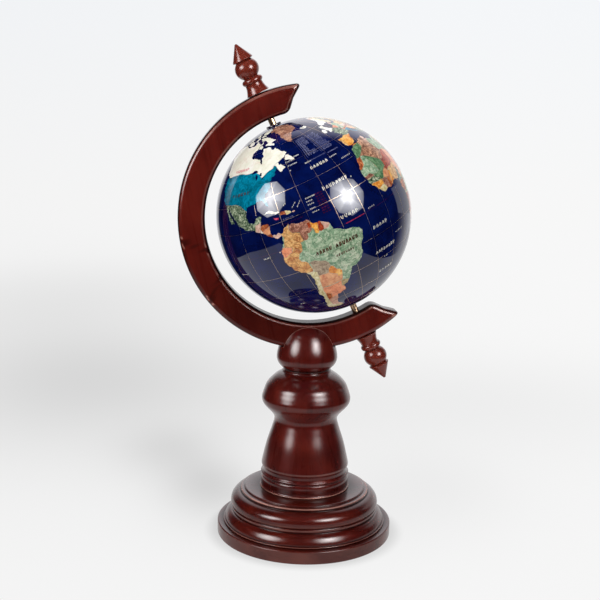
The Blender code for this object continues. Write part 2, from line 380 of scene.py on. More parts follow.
# name: main, light, dark, vein, then what differs from the usual mottling
STONES = {
    "lapis": ((2, 14, 66), (3, 19, 78), (1, 8, 54), (5, 26, 88),
              dict(patch=45, veins=0.12, flecks=0.03, rough=0.015)),
    "shell": ((242, 239, 223), (250, 247, 238), (230, 229, 208), (222, 200, 182),
              dict(patch=60, vein_scale=30, width=0.02, veins=0.45, flecks=0.1)),
    "turquoise": ((0, 120, 150), (8, 146, 178), (0, 92, 114), (0, 62, 78),
                  dict(patch=165, vein_scale=75, flecks=0.12)),
    "moss": ((98, 122, 92), (214, 222, 192), (34, 56, 38), (20, 34, 24),
             dict(patch=420, vein_scale=210, width=0.05, veins=0.75, flecks=0.4)),
    "picture_jasper": ((164, 118, 92), (228, 178, 142), (98, 66, 54), (84, 52, 42),
                       dict(patch=390, vein_scale=150, veins=0.7)),
    "rose": ((222, 186, 168), (238, 214, 200), (190, 144, 126), (172, 96, 74),
             dict(patch=240, vein_scale=110)),
    "rust": ((172, 88, 52), (214, 138, 88), (112, 48, 30), (84, 34, 22),
             dict(patch=285, vein_scale=120, veins=0.6)),
    "gold_jasper": ((222, 174, 112), (242, 206, 146), (184, 118, 70), (122, 62, 34),
                    dict(patch=255, vein_scale=125, width=0.04, veins=0.75)),
    "mauve_jasper": ((160, 108, 90), (208, 160, 136), (106, 64, 52), (88, 44, 36),
                     dict(patch=390, vein_scale=170, width=0.04, veins=0.7, flecks=0.4)),
    "amber": ((234, 160, 68), (248, 202, 116), (204, 110, 40), (170, 82, 34),
              dict(patch=180, vein_scale=100)),
    "red_jasper": ((166, 66, 40), (204, 98, 62), (112, 34, 24), (80, 24, 18),
                   dict(patch=240, vein_scale=120)),
    "jade": ((150, 178, 146), (200, 210, 184), (96, 136, 104), (58, 88, 62),
             dict(patch=255, vein_scale=110, width=0.035, veins=0.65)),
    "taupe": ((156, 136, 112), (186, 168, 142), (116, 94, 76), (92, 70, 58),
              dict(patch=300, vein_scale=130, veins=0.55)),
    "peach": ((224, 160, 114), (238, 186, 140), (200, 120, 86), (178, 96, 66),
              dict(patch=150, vein_scale=80, veins=0.45)),
    "salmon": ((236, 148, 104), (244, 172, 130), (212, 116, 80), (152, 74, 52),
               dict(patch=165, vein_scale=90)),
    "cream": ((218, 206, 158), (236, 230, 198), (186, 172, 118), (160, 138, 92),
              dict(patch=225, vein_scale=110, veins=0.4)),
    "aventurine": ((100, 140, 100), (150, 176, 136), (58, 94, 64), (48, 74, 54),
                   dict(patch=300, vein_scale=140, veins=0.6)),
    "white_stone": ((232, 232, 224), (246, 244, 238), (208, 206, 194), (184, 178, 164),
                    dict(patch=180, veins=0.3)),
    "maroon_stone": ((58, 12, 44), (82, 20, 58), (38, 8, 32), (90, 30, 60),
                     dict(patch=180, veins=0.3)),
    "smoke": ((106, 110, 146), (134, 136, 166), (80, 84, 122), (150, 150, 172),
              dict(patch=240, veins=0.2)),
    "greenland_jasper": ((160, 112, 92), (206, 160, 132), (110, 74, 66), (88, 54, 48),
                         dict(patch=285, vein_scale=130, veins=0.65)),
    "honey": ((208, 150, 86), (234, 190, 120), (172, 98, 52), (124, 66, 38),
              dict(patch=240, vein_scale=125, width=0.04, veins=0.75)),
    "olive": ((170, 150, 104), (200, 184, 140), (132, 110, 70), (108, 88, 58),
              dict(patch=240, vein_scale=110, veins=0.45)),
    "sandstone": ((204, 150, 122), (224, 180, 154), (170, 116, 92), (150, 92, 72),
                  dict(patch=180, vein_scale=90, veins=0.45)),
    "coral_stone": ((196, 44, 72), (226, 96, 120), (140, 24, 44), (232, 150, 160),
                    dict(patch=300, veins=0.2)),
    "umber_stone": ((64, 36, 24), (96, 58, 40), (38, 20, 14), (120, 80, 60),
                    dict(patch=300, veins=0.2)),
    "cap_stone": ((44, 30, 56), (96, 72, 84), (26, 18, 38), (110, 84, 92),
                  dict(patch=330, veins=0.4)),
}
FINISH = {name: stone(name, colours, **rest) for name, (*colours, rest) in STONES.items()}
# The base's copy of the wood is a darker stain and the arm's a lighter one: painted shade and light for
# the light that falls off towards the bottom
FINISH["wood_upright"] = lacquered_wood("wood_upright")
FINISH["wood_arm_lit"] = lacquered_wood("wood_arm_lit", (0, math.radians(12), 0), (74, 15, 9),
                                    (88, 20, 13), (102, 29, 19))
FINISH["wood_small"] = lacquered_wood("wood_small", (0, 0, 0), (96, 30, 19), (106, 37, 26),
                                      (116, 46, 33), 0.0, 0.4)
FINISH["wood_level_shaded"] = lacquered_wood("wood_level_shaded", (0, math.radians(90), 0), (52, 9, 5),
                                      (69, 13, 8), (86, 24, 13))
FINISH["brass"] = metal("brass", (236, 202, 166), (212, 172, 136), 0.24)
FINISH["gold"] = metal("gold", (202, 180, 158), (174, 150, 126), 0.26)


# ------------------------------ turned pieces

HUB = 1 * MM                         # the circle that the lathe carries a profile round
WELD = 0.0005 * MM
FOOT_STEPS = 200                     # flats in one turn of the lathe
COLUMN_STEPS = 160
FINIAL_STEPS = 72
PIN_STEPS = 64
SOFT_CORNER = 0.3                    # radius of a turned corner, in millimetres
SOFT_CORNER_COLUMN = 0.35
SHARP_TURNED = math.radians(50)      # an edge that turns by more than this stays sharp
SHARP_SLOTTED = math.radians(40)


def lathe_tree():
    """Carries a profile drawn as mesh edges (x = radius - hub, y = -height) round the Z axis."""
    tree, entry, leave = new_shape_tree("lathe", [("Steps", "NodeSocketInt", PIN_STEPS),
                                                  ("Hub", "NodeSocketFloat", HUB)])
    profile = node(tree, "GeometryNodeMeshToCurve", {"Mesh": entry.outputs["Geometry"]})
    circle = node(tree, "GeometryNodeCurvePrimitiveCircle",
                  {"Resolution": entry.outputs["Steps"], "Radius": entry.outputs["Hub"]})
    upright = node(tree, "GeometryNodeSetCurveNormal", {"Curve": circle.outputs["Curve"]},
                   mode="Z_UP")
    swept = node(tree, "GeometryNodeCurveToMesh", {"Curve": upright.outputs[0],
                                                   "Profile Curve": profile.outputs[0]})
    closed = node(tree, "GeometryNodeMergeByDistance", {"Geometry": swept.outputs[0],
                                                        "Distance": WELD})
    smooth = node(tree, "GeometryNodeSetShadeSmooth", {"Geometry": closed.outputs[0]})
    hand_out(tree, entry, leave, smooth)
    return tree


LATHE = lathe_tree()


def arc(centre_r, centre_z, half_r, half_z, start, end, steps=14):
    """Part of an ellipse in a profile, from one angle to another in degrees."""
    points = []
    for i in range(steps + 1):
        angle = math.radians(start + (end - start) * i / steps)
        points.append((centre_r + half_r * math.cos(angle),
                       centre_z + half_z * math.sin(angle)))
    return points


def spline(keys, steps=8):
    """A Catmull-Rom curve through key points."""
    ends = [keys[0]] + list(keys) + [keys[-1]]
    points = [keys[0]]
    for before, start, end, after in zip(ends, ends[1:], ends[2:], ends[3:]):
        for step in range(1, steps + 1):
            t = step / steps
            points.append(tuple(
                0.5 * (2 * p + (q - o) * t + (2 * o - 5 * p + 4 * q - r) * t ** 2
                       + (3 * p - o - 3 * q + r) * t ** 3)
                for o, p, q, r in zip(before, start, end, after)))
    return points


def eased(points, radius=SOFT_CORNER, steps=4, least=18):
    """Rounds each corner of a profile that turns by more than least degrees."""
    made = [points[0]]
    for before, corner, after in zip(points, points[1:], points[2:]):
        a = Vector(before) - Vector(corner)
        b = Vector(after) - Vector(corner)
        if a.length < 1e-6 or b.length < 1e-6:
            continue
        if math.degrees(math.pi - a.angle(b)) < least:
            made.append(corner)
            continue
        cut = min(radius, 0.45 * a.length, 0.45 * b.length)
        start = Vector(corner) + a.normalized() * cut
        end = Vector(corner) + b.normalized() * cut
        for i in range(steps + 1):
            t = i / steps
            point = start * (1 - t) ** 2 + Vector(corner) * 2 * t * (1 - t) + end * t ** 2
            made.append((point.x, point.y))
    return made + [points[-1]]


def paint_shade_sheen(obj, places):
    """Paints sheen on rubbed edges (up to 1) and shade in crevices and under parts (down to -1).

    Each place is a radius, a height, how far it reaches (all in mm) and its amount.
    """
    values = []
    for vertex in obj.data.vertices:
        x, y, z = vertex.co / MM
        total = 0.0
        for radius, height, reach, amount in places:
            away = math.hypot(math.hypot(x, y) - radius, z - height)
            total += amount * max(0.0, 1 - away / reach)
        values.append(max(-1.0, min(1.0, total)))
    add_field(obj.data, "wear_shade_sheen", values)


def turned(name, profile, steps, finish, matrix=None):
    """A turned piece from a profile of radius and height in millimetres, read downwards."""
    mesh = bpy.data.meshes.new(name)
    verts = [(radius * MM - HUB, -height * MM, 0) for radius, height in profile]
    mesh.from_pydata(verts, [(i, i + 1) for i in range(len(verts) - 1)], [])
    obj = piece_from(name, mesh)
    through(obj, LATHE, {"Steps": steps, "Hub": HUB, "Finish": FINISH[finish]})
    if matrix is not None:
        place(obj, matrix)
    obj.data.set_sharp_from_angle(angle=SHARP_TURNED)
    return obj


def pole_frame(distance, flip=False):
    """Its Z runs away from the globe: up the pole axis, or down it when flipped."""
    tilt = Matrix.Rotation(-POLE_TILT, 4, "Y")
    turn = Matrix.Rotation(math.pi, 4, "Y") if flip else Matrix.Identity(4)
    return Matrix.Translation(GLOBE_CENTRE) @ tilt @ turn @ Matrix.Translation((0, 0, distance))


def arm_distance(radius, flip):
    """How far along the pole axis one of the arm's arcs is from the globe's centre."""
    way = -POLE if flip else POLE
    offset = GLOBE_CENTRE - ARM_CENTRE
    along = offset.dot(way)
    return -along + math.sqrt(radius ** 2 - (offset.length_squared - along ** 2))


# Painted shade in hollows and round the foot of the column (below nought); painted highlight lines on
# edges and a painted reflection of the floor on the plate's side (above nought)
FOOT_SHADE_SHEEN = (
    (37.0, 38.4, 6.0, -0.75), (43.5, 38.3, 5.0, -0.4), (54.0, 34.6, 5.0, -0.3),
    (48.0, 38.0, 0.6, 0.15), (48.2, 36.8, 0.8, -0.6), (50.9, 36.3, 0.95, 1.6),
    (51.4, 34.9, 1.3, -1.0), (57.7, 23.0, 0.7, -0.8), (58.7, 24.6, 1.5, 0.3),
    (58.6, 21.7, 1.1, 0.5), (57.9, 19.8, 1.0, -0.9), (63.7, 11.7, 0.8, -0.9),
    (64.9, 11.1, 0.6, 1.0), (65.4, 10.1, 2.0, -0.9), (67.6, 10.2, 1.8, -0.9),
    (69.7, 5.0, 7.0, 0.45),
)
# Painted shade in the grooves and the neck, the skirt a little darker and duller, and painted highlight
# lines on the foot's lip and the skirt's edge
COLUMN_SHADE_SHEEN = (
    (35.6, 39.2, 0.8, 1.2), (35.0, 42.2, 2.6, -0.4), (34.3, 48.9, 0.5, -0.9),
    (34.8, 57.0, 1.6, 0.3), (33.9, 52.6, 0.7, -0.4), (18.2, 135.3, 1.5, -1.0),
    (31.5, 72.0, 15.0, -0.3),
)


def foot_profile():
    """Radius and height in millimetres, from the middle of the top to the underside."""
    ledge = [(0, 38.4), (36.6, 38.4), (47.3, 38.15), (48.0, 37.8), (48.1, 36.9), (48.5, 36.6),
             (50.5, 36.45), (51.1, 36.15), (51.2, 35.0), (51.4, 34.3)]
    upper_round = spline([(51.9, 34.1), (53.1, 33.8), (55.0, 32.9), (56.7, 31.5), (58.0, 29.8),
                          (58.75, 27.8), (59.0, 25.9), (58.8, 24.4), (58.2, 23.4)])
    band = [(57.7, 23.1), (57.7, 22.8), (58.2, 22.7), (58.5, 22.3), (58.5, 20.9), (58.1, 20.4),
            (57.9, 19.8)]
    lower_round = spline([(58.1, 19.4), (59.3, 19.0), (60.6, 18.1), (61.8, 16.8), (62.9, 15.0),
                          (63.6, 13.4), (63.9, 12.0)])
    lip = [(63.7, 11.75), (63.8, 11.5), (64.6, 11.35), (64.95, 11.0), (64.8, 10.5), (64.3, 10.1)]
    plate = [(65.0, 10.1), (69.0, 10.2), (69.7, 9.5), (69.7, 0.6), (69.2, 0), (0, 0)]
    return eased(ledge + upper_round + band + lower_round + lip + plate)


def make_base():
    foot = turned("turned_foot", foot_profile(), FOOT_STEPS, "wood_level_shaded")
    paint_shade_sheen(foot, FOOT_SHADE_SHEEN)
    settle(foot, "stand", "lacquered_wood", "base")


def column_profile():
    """The baluster: knob, neck ring, bulb, waist, skirt, rings and a thin foot."""
    knob = spline([(0, 172.0), (6, 171.2), (11.8, 168.4), (16.1, 164.9), (19.5, 159.9),
                   (22.0, 154.0), (23.4, 149.0), (23.9, 144.8), (23.6, 142.0), (22.3, 139.2),
                   (20.2, 137.0), (18.8, 136.2)])
    neck = [(18.3, 135.6), (18.1, 134.4)] + arc(18.4, 133.2, 1.0, 1.0, 80, -30, 8)
    bulb_to_skirt = spline([(19.8, 132.4), (22.6, 130.9), (26.5, 128), (31.2, 122.9),
                            (33.2, 118.3), (34.3, 115.1), (35.15, 111.5), (34.5, 107.9),
                            (32.1, 104.6), (27.1, 99.2), (25.0, 94.4), (26.7, 87.2),
                            (30.6, 75.2), (33.6, 63), (34.7, 58.0)])
    rings = ([(34.7, 56.6), (34.2, 55.4), (33.9, 54.2), (33.9, 52.6)]
             + arc(34.1, 50.1, 1.1, 1.1, 75, -70, 10)
             + [(34.3, 48.9), (34.6, 48.8)] + arc(33.6, 45.6, 1.6, 3.4, 52, -30, 10))
    foot = [(34.9, 42.4), (34.8, 40.7), (35.0, 39.9), (35.5, 39.4), (35.7, 39.1), (35.6, 38.6),
            (0, 38.6)]
    return eased(knob + neck + bulb_to_skirt + rings + foot, SOFT_CORNER_COLUMN)


CAP_HOLE_ROOM = 0.1 * MM             # round the pin
CAP_LIFT = 0.05 * MM                 # above the globe
SLOT_WALL = ARM_THICKNESS / 2 + GAP
SLOT_RADIUS = ARM_OUTER + GAP
SLOT_EDGE = 0.42 * MM                # width of the slot's softened edge
SLOT_EDGE_DROP = 0.03 * MM
SLOT_STEPS = 256


def slot_cutter():
    """A disc as thick as the slot, which fits round the outside of the arm."""
    mesh = bpy.data.meshes.new("slot")
    shape = bmesh.new()
    bmesh.ops.create_cone(shape, cap_ends=True, segments=SLOT_STEPS, radius1=SLOT_RADIUS,
                          radius2=SLOT_RADIUS, depth=ARM_THICKNESS + 2 * GAP,
                          matrix=Matrix.Translation(ARM_CENTRE)
                          @ Matrix.Rotation(math.pi / 2, 4, "X"))
    shape.to_mesh(mesh)
    shape.free()
    mesh.materials.append(FINISH["wood_upright"])
    return piece_from("slot", mesh)


def cut_slot(column):
    """Cuts the slot that the arm stands in out of the knob."""
    slot = slot_cutter()
    cut = column.modifiers.new("slot", "BOOLEAN")
    cut.operation = "DIFFERENCE"
    cut.solver = "EXACT"
    cut.object = slot
    baked(column)
    bpy.data.objects.remove(slot)


def ease_slot_edges(column):
    """Takes the sharp edge off the slot's rim and paints a highlight line along it."""
    shape = bmesh.new()
    shape.from_mesh(column.data)
    wear_shade_sheen = shape.verts.layers.float["wear_shade_sheen"]
    for side in (-1, 1):
        faces = [face for face in shape.faces
                 if min(vertex.co.z for vertex in face.verts) > SLOT_FOOT]
        near = set(faces)
        for face in faces:
            near.update(face.edges)
            near.update(face.verts)
        bmesh.ops.bisect_plane(shape, geom=list(near), dist=1e-7,
                               plane_co=(0, side * (SLOT_WALL + SLOT_EDGE), 0),
                               plane_no=(0, side, 0))
    for vertex in shape.verts:
        x, y, z = vertex.co
        from_arm = math.hypot(x - ARM_CENTRE.x, z - ARM_CENTRE.z)
        if z < SLOT_FOOT or from_arm > SLOT_RADIUS - 0.05 * MM:
            continue
        if abs(abs(y) - SLOT_WALL) < 1e-6:
            vertex[wear_shade_sheen] = 1.0
            inwards = Vector((x, y, 0)).normalized() * 0.6 + Vector((0, 0, 0.8))
            vertex.co -= inwards * SLOT_EDGE_DROP
        elif abs(abs(y) - SLOT_WALL - SLOT_EDGE) < 1e-6:
            vertex[wear_shade_sheen] = 0.8
    shape.to_mesh(column.data)
    shape.free()


def make_column():
    column = turned("turned_column", column_profile(), COLUMN_STEPS, "wood_upright")
    paint_shade_sheen(column, COLUMN_SHADE_SHEEN)
    cut_slot(column)
    ease_slot_edges(column)
    column.data.set_sharp_from_angle(angle=SHARP_SLOTTED)
    settle(column, "stand", "lacquered_wood", "column")


def finial_profile():
    """A pointed cone with a rim, on a ball, a ring and a flared foot."""
    cone = [(0, 39.4), (0.9, 39.0), (1.5, 37.9), (7.9, 27.2), (8.1, 26.6), (6.7, 25.9),
            (5.4, 25.9)]
    ball = arc(0, 19.5, 9.2, 8.4, 48, -52, 24)
    ring = [(5.4, 12.6)] + arc(5.8, 10.1, 2.3, 2.3, 70, -66, 14)
    foot = spline([(6.7, 7.4), (6.9, 5.6), (7.5, 3.6), (8.3, 1.5), (8.9, 0.3)], 4)
    return eased(cone + ball + ring + foot + [(8.9, 0), (0, 0)])


def make_finial(name, solid, flip, aside=0, lean=0):
    """A finial on the arm's edge; it may sit a little aside and lean."""
    seat = pole_frame(arm_distance(ARM_OUTER, flip) + GAP, flip)
    seat = seat @ Matrix.Translation((-aside, 0, 0)) @ Matrix.Rotation(-lean, 4, "Y")
    finial = turned(name, finial_profile(), FINIAL_STEPS, "wood_small", seat)
    settle(finial, "stand", "lacquered_wood", solid)


def make_pin(name, solid, flip):
    """A round pin from inside the arm to the foot of the globe's bore."""
    inner_end = GLOBE_RADIUS - PIN_INTO_GLOBE
    length = (arm_distance(ARM_INNER, flip) + PIN_INTO_ARM - inner_end) / MM
    radius = PIN_RADIUS / MM
    profile = eased([(0, length), (radius, length), (radius, 0), (0, 0)])
    pin = turned(name, profile, PIN_STEPS, "brass", pole_frame(inner_end, flip))
    settle(pin, "stand", "brass", solid)


def make_cap(name, solid, flip):
    """A thin disc round a pin, lying on the globe."""
    hole, rim = (PIN_RADIUS + CAP_HOLE_ROOM) / MM, CAP_RADIUS / MM
    top, chamfer = CAP_THICKNESS / MM, CAP_CHAMFER / MM
    profile = [(hole, top), (rim - chamfer, top), (rim, top - chamfer), (rim, 0), (hole, 0),
               (hole, top)]
    cap = turned(name, profile, PIN_STEPS, "cap_stone",
                 pole_frame(GLOBE_RADIUS + CAP_LIFT, flip))
    settle(cap, "globe", "cap_stone", solid)


# ------------------------------ the bent arm

ARM_STEPS = 150
ARM_END_STEP = 0.017                 # share of the arm before its first row
ARM_EDGE_STEPS = 8
ARM_MIDDLE = 0.5 * (ARM_INNER + ARM_OUTER)
ARM_END_HOLLOW = 0.6 * MM            # how far each end dips between its corners
# How much painted sheen (above nought) and painted shade (below) its faces and rims get, round the arm;
# the faces carry a painted shadow of the globe at the lower left; the angles are in degrees, from the
# right and upwards, and they lean with the poles
ARM_SHADE_ANGLES = (70, 120, 150, 180, 205, 240, 262, 290)
ARM_SHADES = (0.0, 0.0, 0.0, -0.12, -0.58, -0.5, -0.15, 0.0)
ARM_RIM_SHADES = (0.5, 0.45, -0.2, -0.45, -0.45, -0.3, 0.0, 0.3)
# Strips of painted shade along the rims and the ends, as shares of the rounded edge's width, how
# deep the shade is in them, and how much painted sheen the ends' and the inner edges get
INNER_SHADE_STRIP, OUTER_SHADE_STRIP, END_SHADE_STRIP = 0.35, 0.2, 0.35
RIM_SHADE_DEPTH, END_SHADE_DEPTH = -1.1, -0.7
END_SHEEN, INNER_SHEEN = 0.9, 0.35
FLAT_FACE = 0.02                     # depth below the face that still counts as the face


def arm_row(share, depth):
    """The inner, middle and outer point of the arm at a share of its length."""
    past_middle = (0.5 * (ARM_PAST_POLE_INNER + ARM_PAST_POLE_OUTER)
                   - ARM_END_HOLLOW / ARM_MIDDLE)
    points = []
    for radius, past in ((ARM_INNER, ARM_PAST_POLE_INNER), (ARM_MIDDLE, past_middle),
                         (ARM_OUTER, ARM_PAST_POLE_OUTER)):
        start = math.pi / 2 + POLE_TILT - past
        end = 3 * math.pi / 2 + POLE_TILT + past
        angle = start + (end - start) * share
        across = Vector((math.cos(angle), 0, math.sin(angle))) * radius
        points.append(ARM_CENTRE + across + Vector((0, depth, 0)))
    return points


def from_arm_end(x, z):
    """The distance to the nearer end of the arm."""
    distances = []
    for share in (0, 1):
        inner, middle, outer = arm_row(share, 0)
        across = (outer - inner).normalized()
        off = Vector((x, 0, z)) - middle
        distances.append((off - across * off.dot(across)).length)
    return min(distances)


def arm_shade_sheen(spot):
    """The arm's painted sheen (above nought) and painted shade with duller lacquer (below nought) at a
    spot.
    """
    x, y, z = spot
    reach = math.hypot(x - ARM_CENTRE.x, z - ARM_CENTRE.z)
    from_face = ARM_THICKNESS / 2 - abs(y)
    from_end = from_arm_end(x, z) / ARM_EDGE
    from_inner, from_outer = (reach - ARM_INNER) / ARM_EDGE, (ARM_OUTER - reach) / ARM_EDGE
    angle = (math.atan2(z - ARM_CENTRE.z, x - ARM_CENTRE.x) - POLE_TILT) % (2 * math.pi)
    if from_inner < INNER_SHADE_STRIP or from_outer < OUTER_SHADE_STRIP:
        return RIM_SHADE_DEPTH
    if from_end < END_SHADE_STRIP:
        return END_SHADE_DEPTH
    if from_face > FLAT_FACE * ARM_EDGE:
        if from_end < 1:
            return END_SHEEN
        if from_inner < 1:
            return INNER_SHEEN
        return float(np.interp(math.degrees(angle), ARM_SHADE_ANGLES, ARM_RIM_SHADES))
    return float(np.interp(math.degrees(angle), ARM_SHADE_ANGLES, ARM_SHADES))


def arm_bar():
    """A flat bar between two arcs, its outer edges marked to be rounded."""
    bar = bmesh.new()
    marked = bar.edges.layers.float.new("bevel_weight_edge")
    shares = [0.0] + list(np.linspace(ARM_END_STEP, 1 - ARM_END_STEP, ARM_STEPS)) + [1.0]
    front, back = [[[bar.verts.new(point) for point in arm_row(share, depth)]
                    for share in shares]
                   for depth in (-ARM_THICKNESS / 2, ARM_THICKNESS / 2)]

    def skin(line, after, facing=1):
        for a, b, c, d in zip(line, line[1:], after[1:], after):
            bar.faces.new((a, b, c, d)[::facing])

    for rows, facing in ((front, 1), (back, -1)):
        for row, after in zip(rows, rows[1:]):
            skin(row, after, facing)
    for rim in (0, -1):
        skin([row[rim] for row in front], [row[rim] for row in back])
    for end in (0, -1):
        skin(front[end], back[end])
    bmesh.ops.recalc_face_normals(bar, faces=bar.faces)
    for rows in (front, back):
        outline = ([row[0] for row in rows] + rows[-1][1:2]
                   + [row[-1] for row in reversed(rows)] + rows[0][1:2])
        for a, b in zip(outline, outline[1:] + outline[:1]):
            bar.edges.get((a, b))[marked] = 1
    for end in (0, -1):
        for side in (0, -1):
            bar.edges.get((front[end][side], back[end][side]))[marked] = 1
    for face in bar.faces:
        face.smooth = True
    return bar


def make_arm():
    """The bent arm: a flat bar between two arcs with well rounded edges."""
    mesh = bpy.data.meshes.new("bent_arm")
    bar = arm_bar()
    bar.to_mesh(mesh)
    bar.free()
    mesh.materials.append(FINISH["wood_arm_lit"])
    arm = piece_from("bent_arm", mesh)
    rounding = arm.modifiers.new("Edges", "BEVEL")
    rounding.width = ARM_EDGE
    rounding.segments = ARM_EDGE_STEPS
    rounding.limit_method = "WEIGHT"
    rounding.harden_normals = True
    baked(arm)
    add_field(arm.data, "wear_shade_sheen", [arm_shade_sheen(vertex.co) for vertex in arm.data.vertices])
    settle(arm, "stand", "lacquered_wood", "arm")


# ------------------------------ camera

CAMERA_AZIMUTH = math.radians(-6.206)
CAMERA_ELEVATION = math.radians(10.675)
CAMERA_ROLL = math.radians(1.129)
CAMERA_DISTANCE = 0.82762
CAMERA_AIM = (-0.0064, 0.18923)      # sideways and upwards
CAMERA_LENS = 63.48
NEAREST, FARTHEST = 0.01, 60         # what the camera can see

BACK = Vector((math.sin(CAMERA_AZIMUTH) * math.cos(CAMERA_ELEVATION),
               -math.cos(CAMERA_AZIMUTH) * math.cos(CAMERA_ELEVATION),
               math.sin(CAMERA_ELEVATION)))
LEVEL_RIGHT = Vector((math.cos(CAMERA_AZIMUTH), math.sin(CAMERA_AZIMUTH), 0))
LEVEL_UP = BACK.cross(LEVEL_RIGHT)
RIGHT = LEVEL_RIGHT * math.cos(CAMERA_ROLL) + LEVEL_UP * math.sin(CAMERA_ROLL)
UP = LEVEL_UP * math.cos(CAMERA_ROLL) - LEVEL_RIGHT * math.sin(CAMERA_ROLL)


def heading(right, up, back):
    """A direction by its parts to the right, upwards and towards the camera."""
    return RIGHT * right + UP * up + BACK * back


def add_camera():
    data = bpy.data.cameras.new("camera")
    data.lens = CAMERA_LENS
    data.clip_start = NEAREST
    data.clip_end = FARTHEST
    camera = piece_from("camera", data)
    aim = LEVEL_RIGHT * CAMERA_AIM[0] + Vector((0, 0, CAMERA_AIM[1]))
    camera.matrix_world = (Matrix.Translation(aim + BACK * CAMERA_DISTANCE)
                           @ Matrix((RIGHT, UP, BACK)).transposed().to_4x4())
    bpy.context.scene.camera = camera


# ------------------------------ lights

def glow(name, strength=1.0):
    """A material that only glows; returns it with its tree and its emission node."""
    made = bpy.data.materials.new(name)
    made.use_nodes = True
    tree = made.node_tree
    tree.nodes.clear()
    lit = node(tree, "ShaderNodeEmission", {"Color": WHITE, "Strength": strength})
    node(tree, "ShaderNodeOutputMaterial", {"Surface": lit.outputs[0]})
    return made, tree, lit


def stage_piece(name, verts, faces, material, seen=False, mirrored=True, lit=False):
    """Part of the stage: seen by the camera, mirrored in the polish, lighting the object."""
    mesh = bpy.data.meshes.new(name)
    mesh.from_pydata(verts, [], faces)
    mesh.materials.append(material)
    made = piece_from(name, mesh)
    made.visible_camera = seen
    made.visible_glossy = mirrored
    made.visible_diffuse = lit
    made.visible_shadow = False
    return made


def add_lamp(name, position, away, size, watts, colour=(1, 1, 1), shape="SQUARE"):
    """A soft lamp that doesn't show in the polish; away points from what it lights to it."""
    lamp = bpy.data.lights.new(name, "AREA")
    lamp.shape = shape
    lamp.size = size
    lamp.energy = watts
    lamp.color = colour
    holder = piece_from(name, lamp)
    holder.matrix_world = (Matrix.Translation(position)
                           @ away.to_track_quat("Z", "Y").to_matrix().to_4x4())
    holder.visible_glossy = False
    holder.visible_camera = False


# name: direction (right, up, towards the camera), half angle, turn, then the brightness at
# the middle, at a quarter, at a half and at the rim
SOFTBOXES = {
    "softbox_left": ((-0.752, 0.236, 0.615), 18.5, 0, (21.5, 19.5, 14.0, 7.0)),
    "softbox_right": ((0.589, 0.287, 0.755), 20.5, 8, (37, 28, 14.0, 4.7)),
}
SOFTBOX_RINGS = (0.0, 0.25, 0.5, 1.0)
SOFTBOX_PANELS = (1.0, 0.8, 1.1, 0.86, 1.14, 0.84, 1.0, 0.78)
SOFTBOX_WATTS = 5.4
SOFTBOX_DISTANCE = 1.05
SOFTBOX_HUB = 0.001                  # share of its radius that the middle points keep


def softbox_material():
    """Glowing cloth; the brightness is painted on the corners of the mesh."""
    made, tree, lit = glow("softbox_cloth")
    painted = node(tree, "ShaderNodeAttribute", attribute_name="brightness")
    feed(tree, lit, {"Strength": painted.outputs["Fac"]})
    return made


def softbox_panel(centre, corners, radius, levels, shade):
    """The points of one panel, four for each ring, and how bright each is."""
    points, brightness = [], []
    rings = list(zip(SOFTBOX_RINGS, levels))
    for near, far in zip(rings, rings[1:]):
        for (share, level), corner in ((near, 0), (near, 1), (far, 1), (far, 0)):
            points.append(centre + corners[corner] * radius * max(share, SOFTBOX_HUB))
            brightness.append(level * (1 if share == 0 else shade))
    return points, brightness


def add_softboxes():
    """Eight-sided light boxes: a bright middle, a dimmer rim and panels that differ a little."""
    cloth = softbox_material()
    sides = len(SOFTBOX_PANELS)
    for name, (where, half, turn, levels) in SOFTBOXES.items():
        direction = heading(*where).normalized()
        radius = SOFTBOX_DISTANCE * math.tan(math.radians(half))
        side = Vector((0, 0, 1)).cross(direction).normalized()
        top = direction.cross(side)
        centre = GLOBE_CENTRE + direction * SOFTBOX_DISTANCE
        verts, brightness = [], []
        for panel, shade in enumerate(SOFTBOX_PANELS):
            corners = []
            for number in (panel, panel + 1):
                angle = 2 * math.pi * number / sides + math.radians(turn)
                corners.append(side * math.cos(angle) + top * math.sin(angle))
            points, shine = softbox_panel(centre, corners, radius, levels, shade)
            verts += points
            brightness += shine
        faces = [tuple(range(first, first + 4)) for first in range(0, len(verts), 4)]
        made = stage_piece(name, verts, faces, cloth)
        add_field(made.data, "brightness", brightness)
        add_lamp(name + "_lamp", centre, direction, 2 * radius, SOFTBOX_WATTS, shape="DISK")


# A pale card behind on the right: its corners as directions (right, up, towards the camera)
CARD = ((0.93, 0.06, -0.36), (0.91, 0.34, -0.235), (0.44, 0.27, -0.855), (0.49, 0.08, -0.87))
CARD_GLOW = 0.8


def add_card():
    """The card shows only in the polish."""
    corners = [GLOBE_CENTRE + heading(*corner) * SOFTBOX_DISTANCE for corner in CARD]
    stage_piece("pale_card", corners, [(0, 1, 2, 3)], glow("pale_card", CARD_GLOW)[0])


# name: place, width, watts and colour
FILL_LAMPS = {
    "fill_above": ((0.0, -0.1, 1.75), 1.1, 14.0, (1, 1, 1)),
    "fill_front": ((-0.45, -1.3, 0.9), 0.9, 3.5, (1, 1, 1)),
    "fill_below": ((0.0, -0.95, -0.8), 1.3, 6.5, (1.0, 0.8, 0.66)),
}
FILL_TARGET = Vector((0, 0, 0.2))


def add_fill():
    """Wide soft lamps above, in front and below, all turned to the middle of the object."""
    for name, (where, size, watts, colour) in FILL_LAMPS.items():
        position = Vector(where)
        add_lamp(name, position, position - FILL_TARGET, size, watts, colour)


DARK_ROOM = (0.012, 0.010, 0.014, 1)
# A pale wall behind and a ceiling: direction, how near to it each starts and is full (as a
# cosine) and its colour
ROOM_PARTS = ((heading(0.18, 0.2, -1), (0.52, 0.93), (1.1, 1.1, 1.12, 1)),
              (heading(0, 0.8, -0.6), (0.83, 0.98), (1.7, 1.68, 1.75, 1)))
SKY_SEEN = rgb(240, 245, 248)


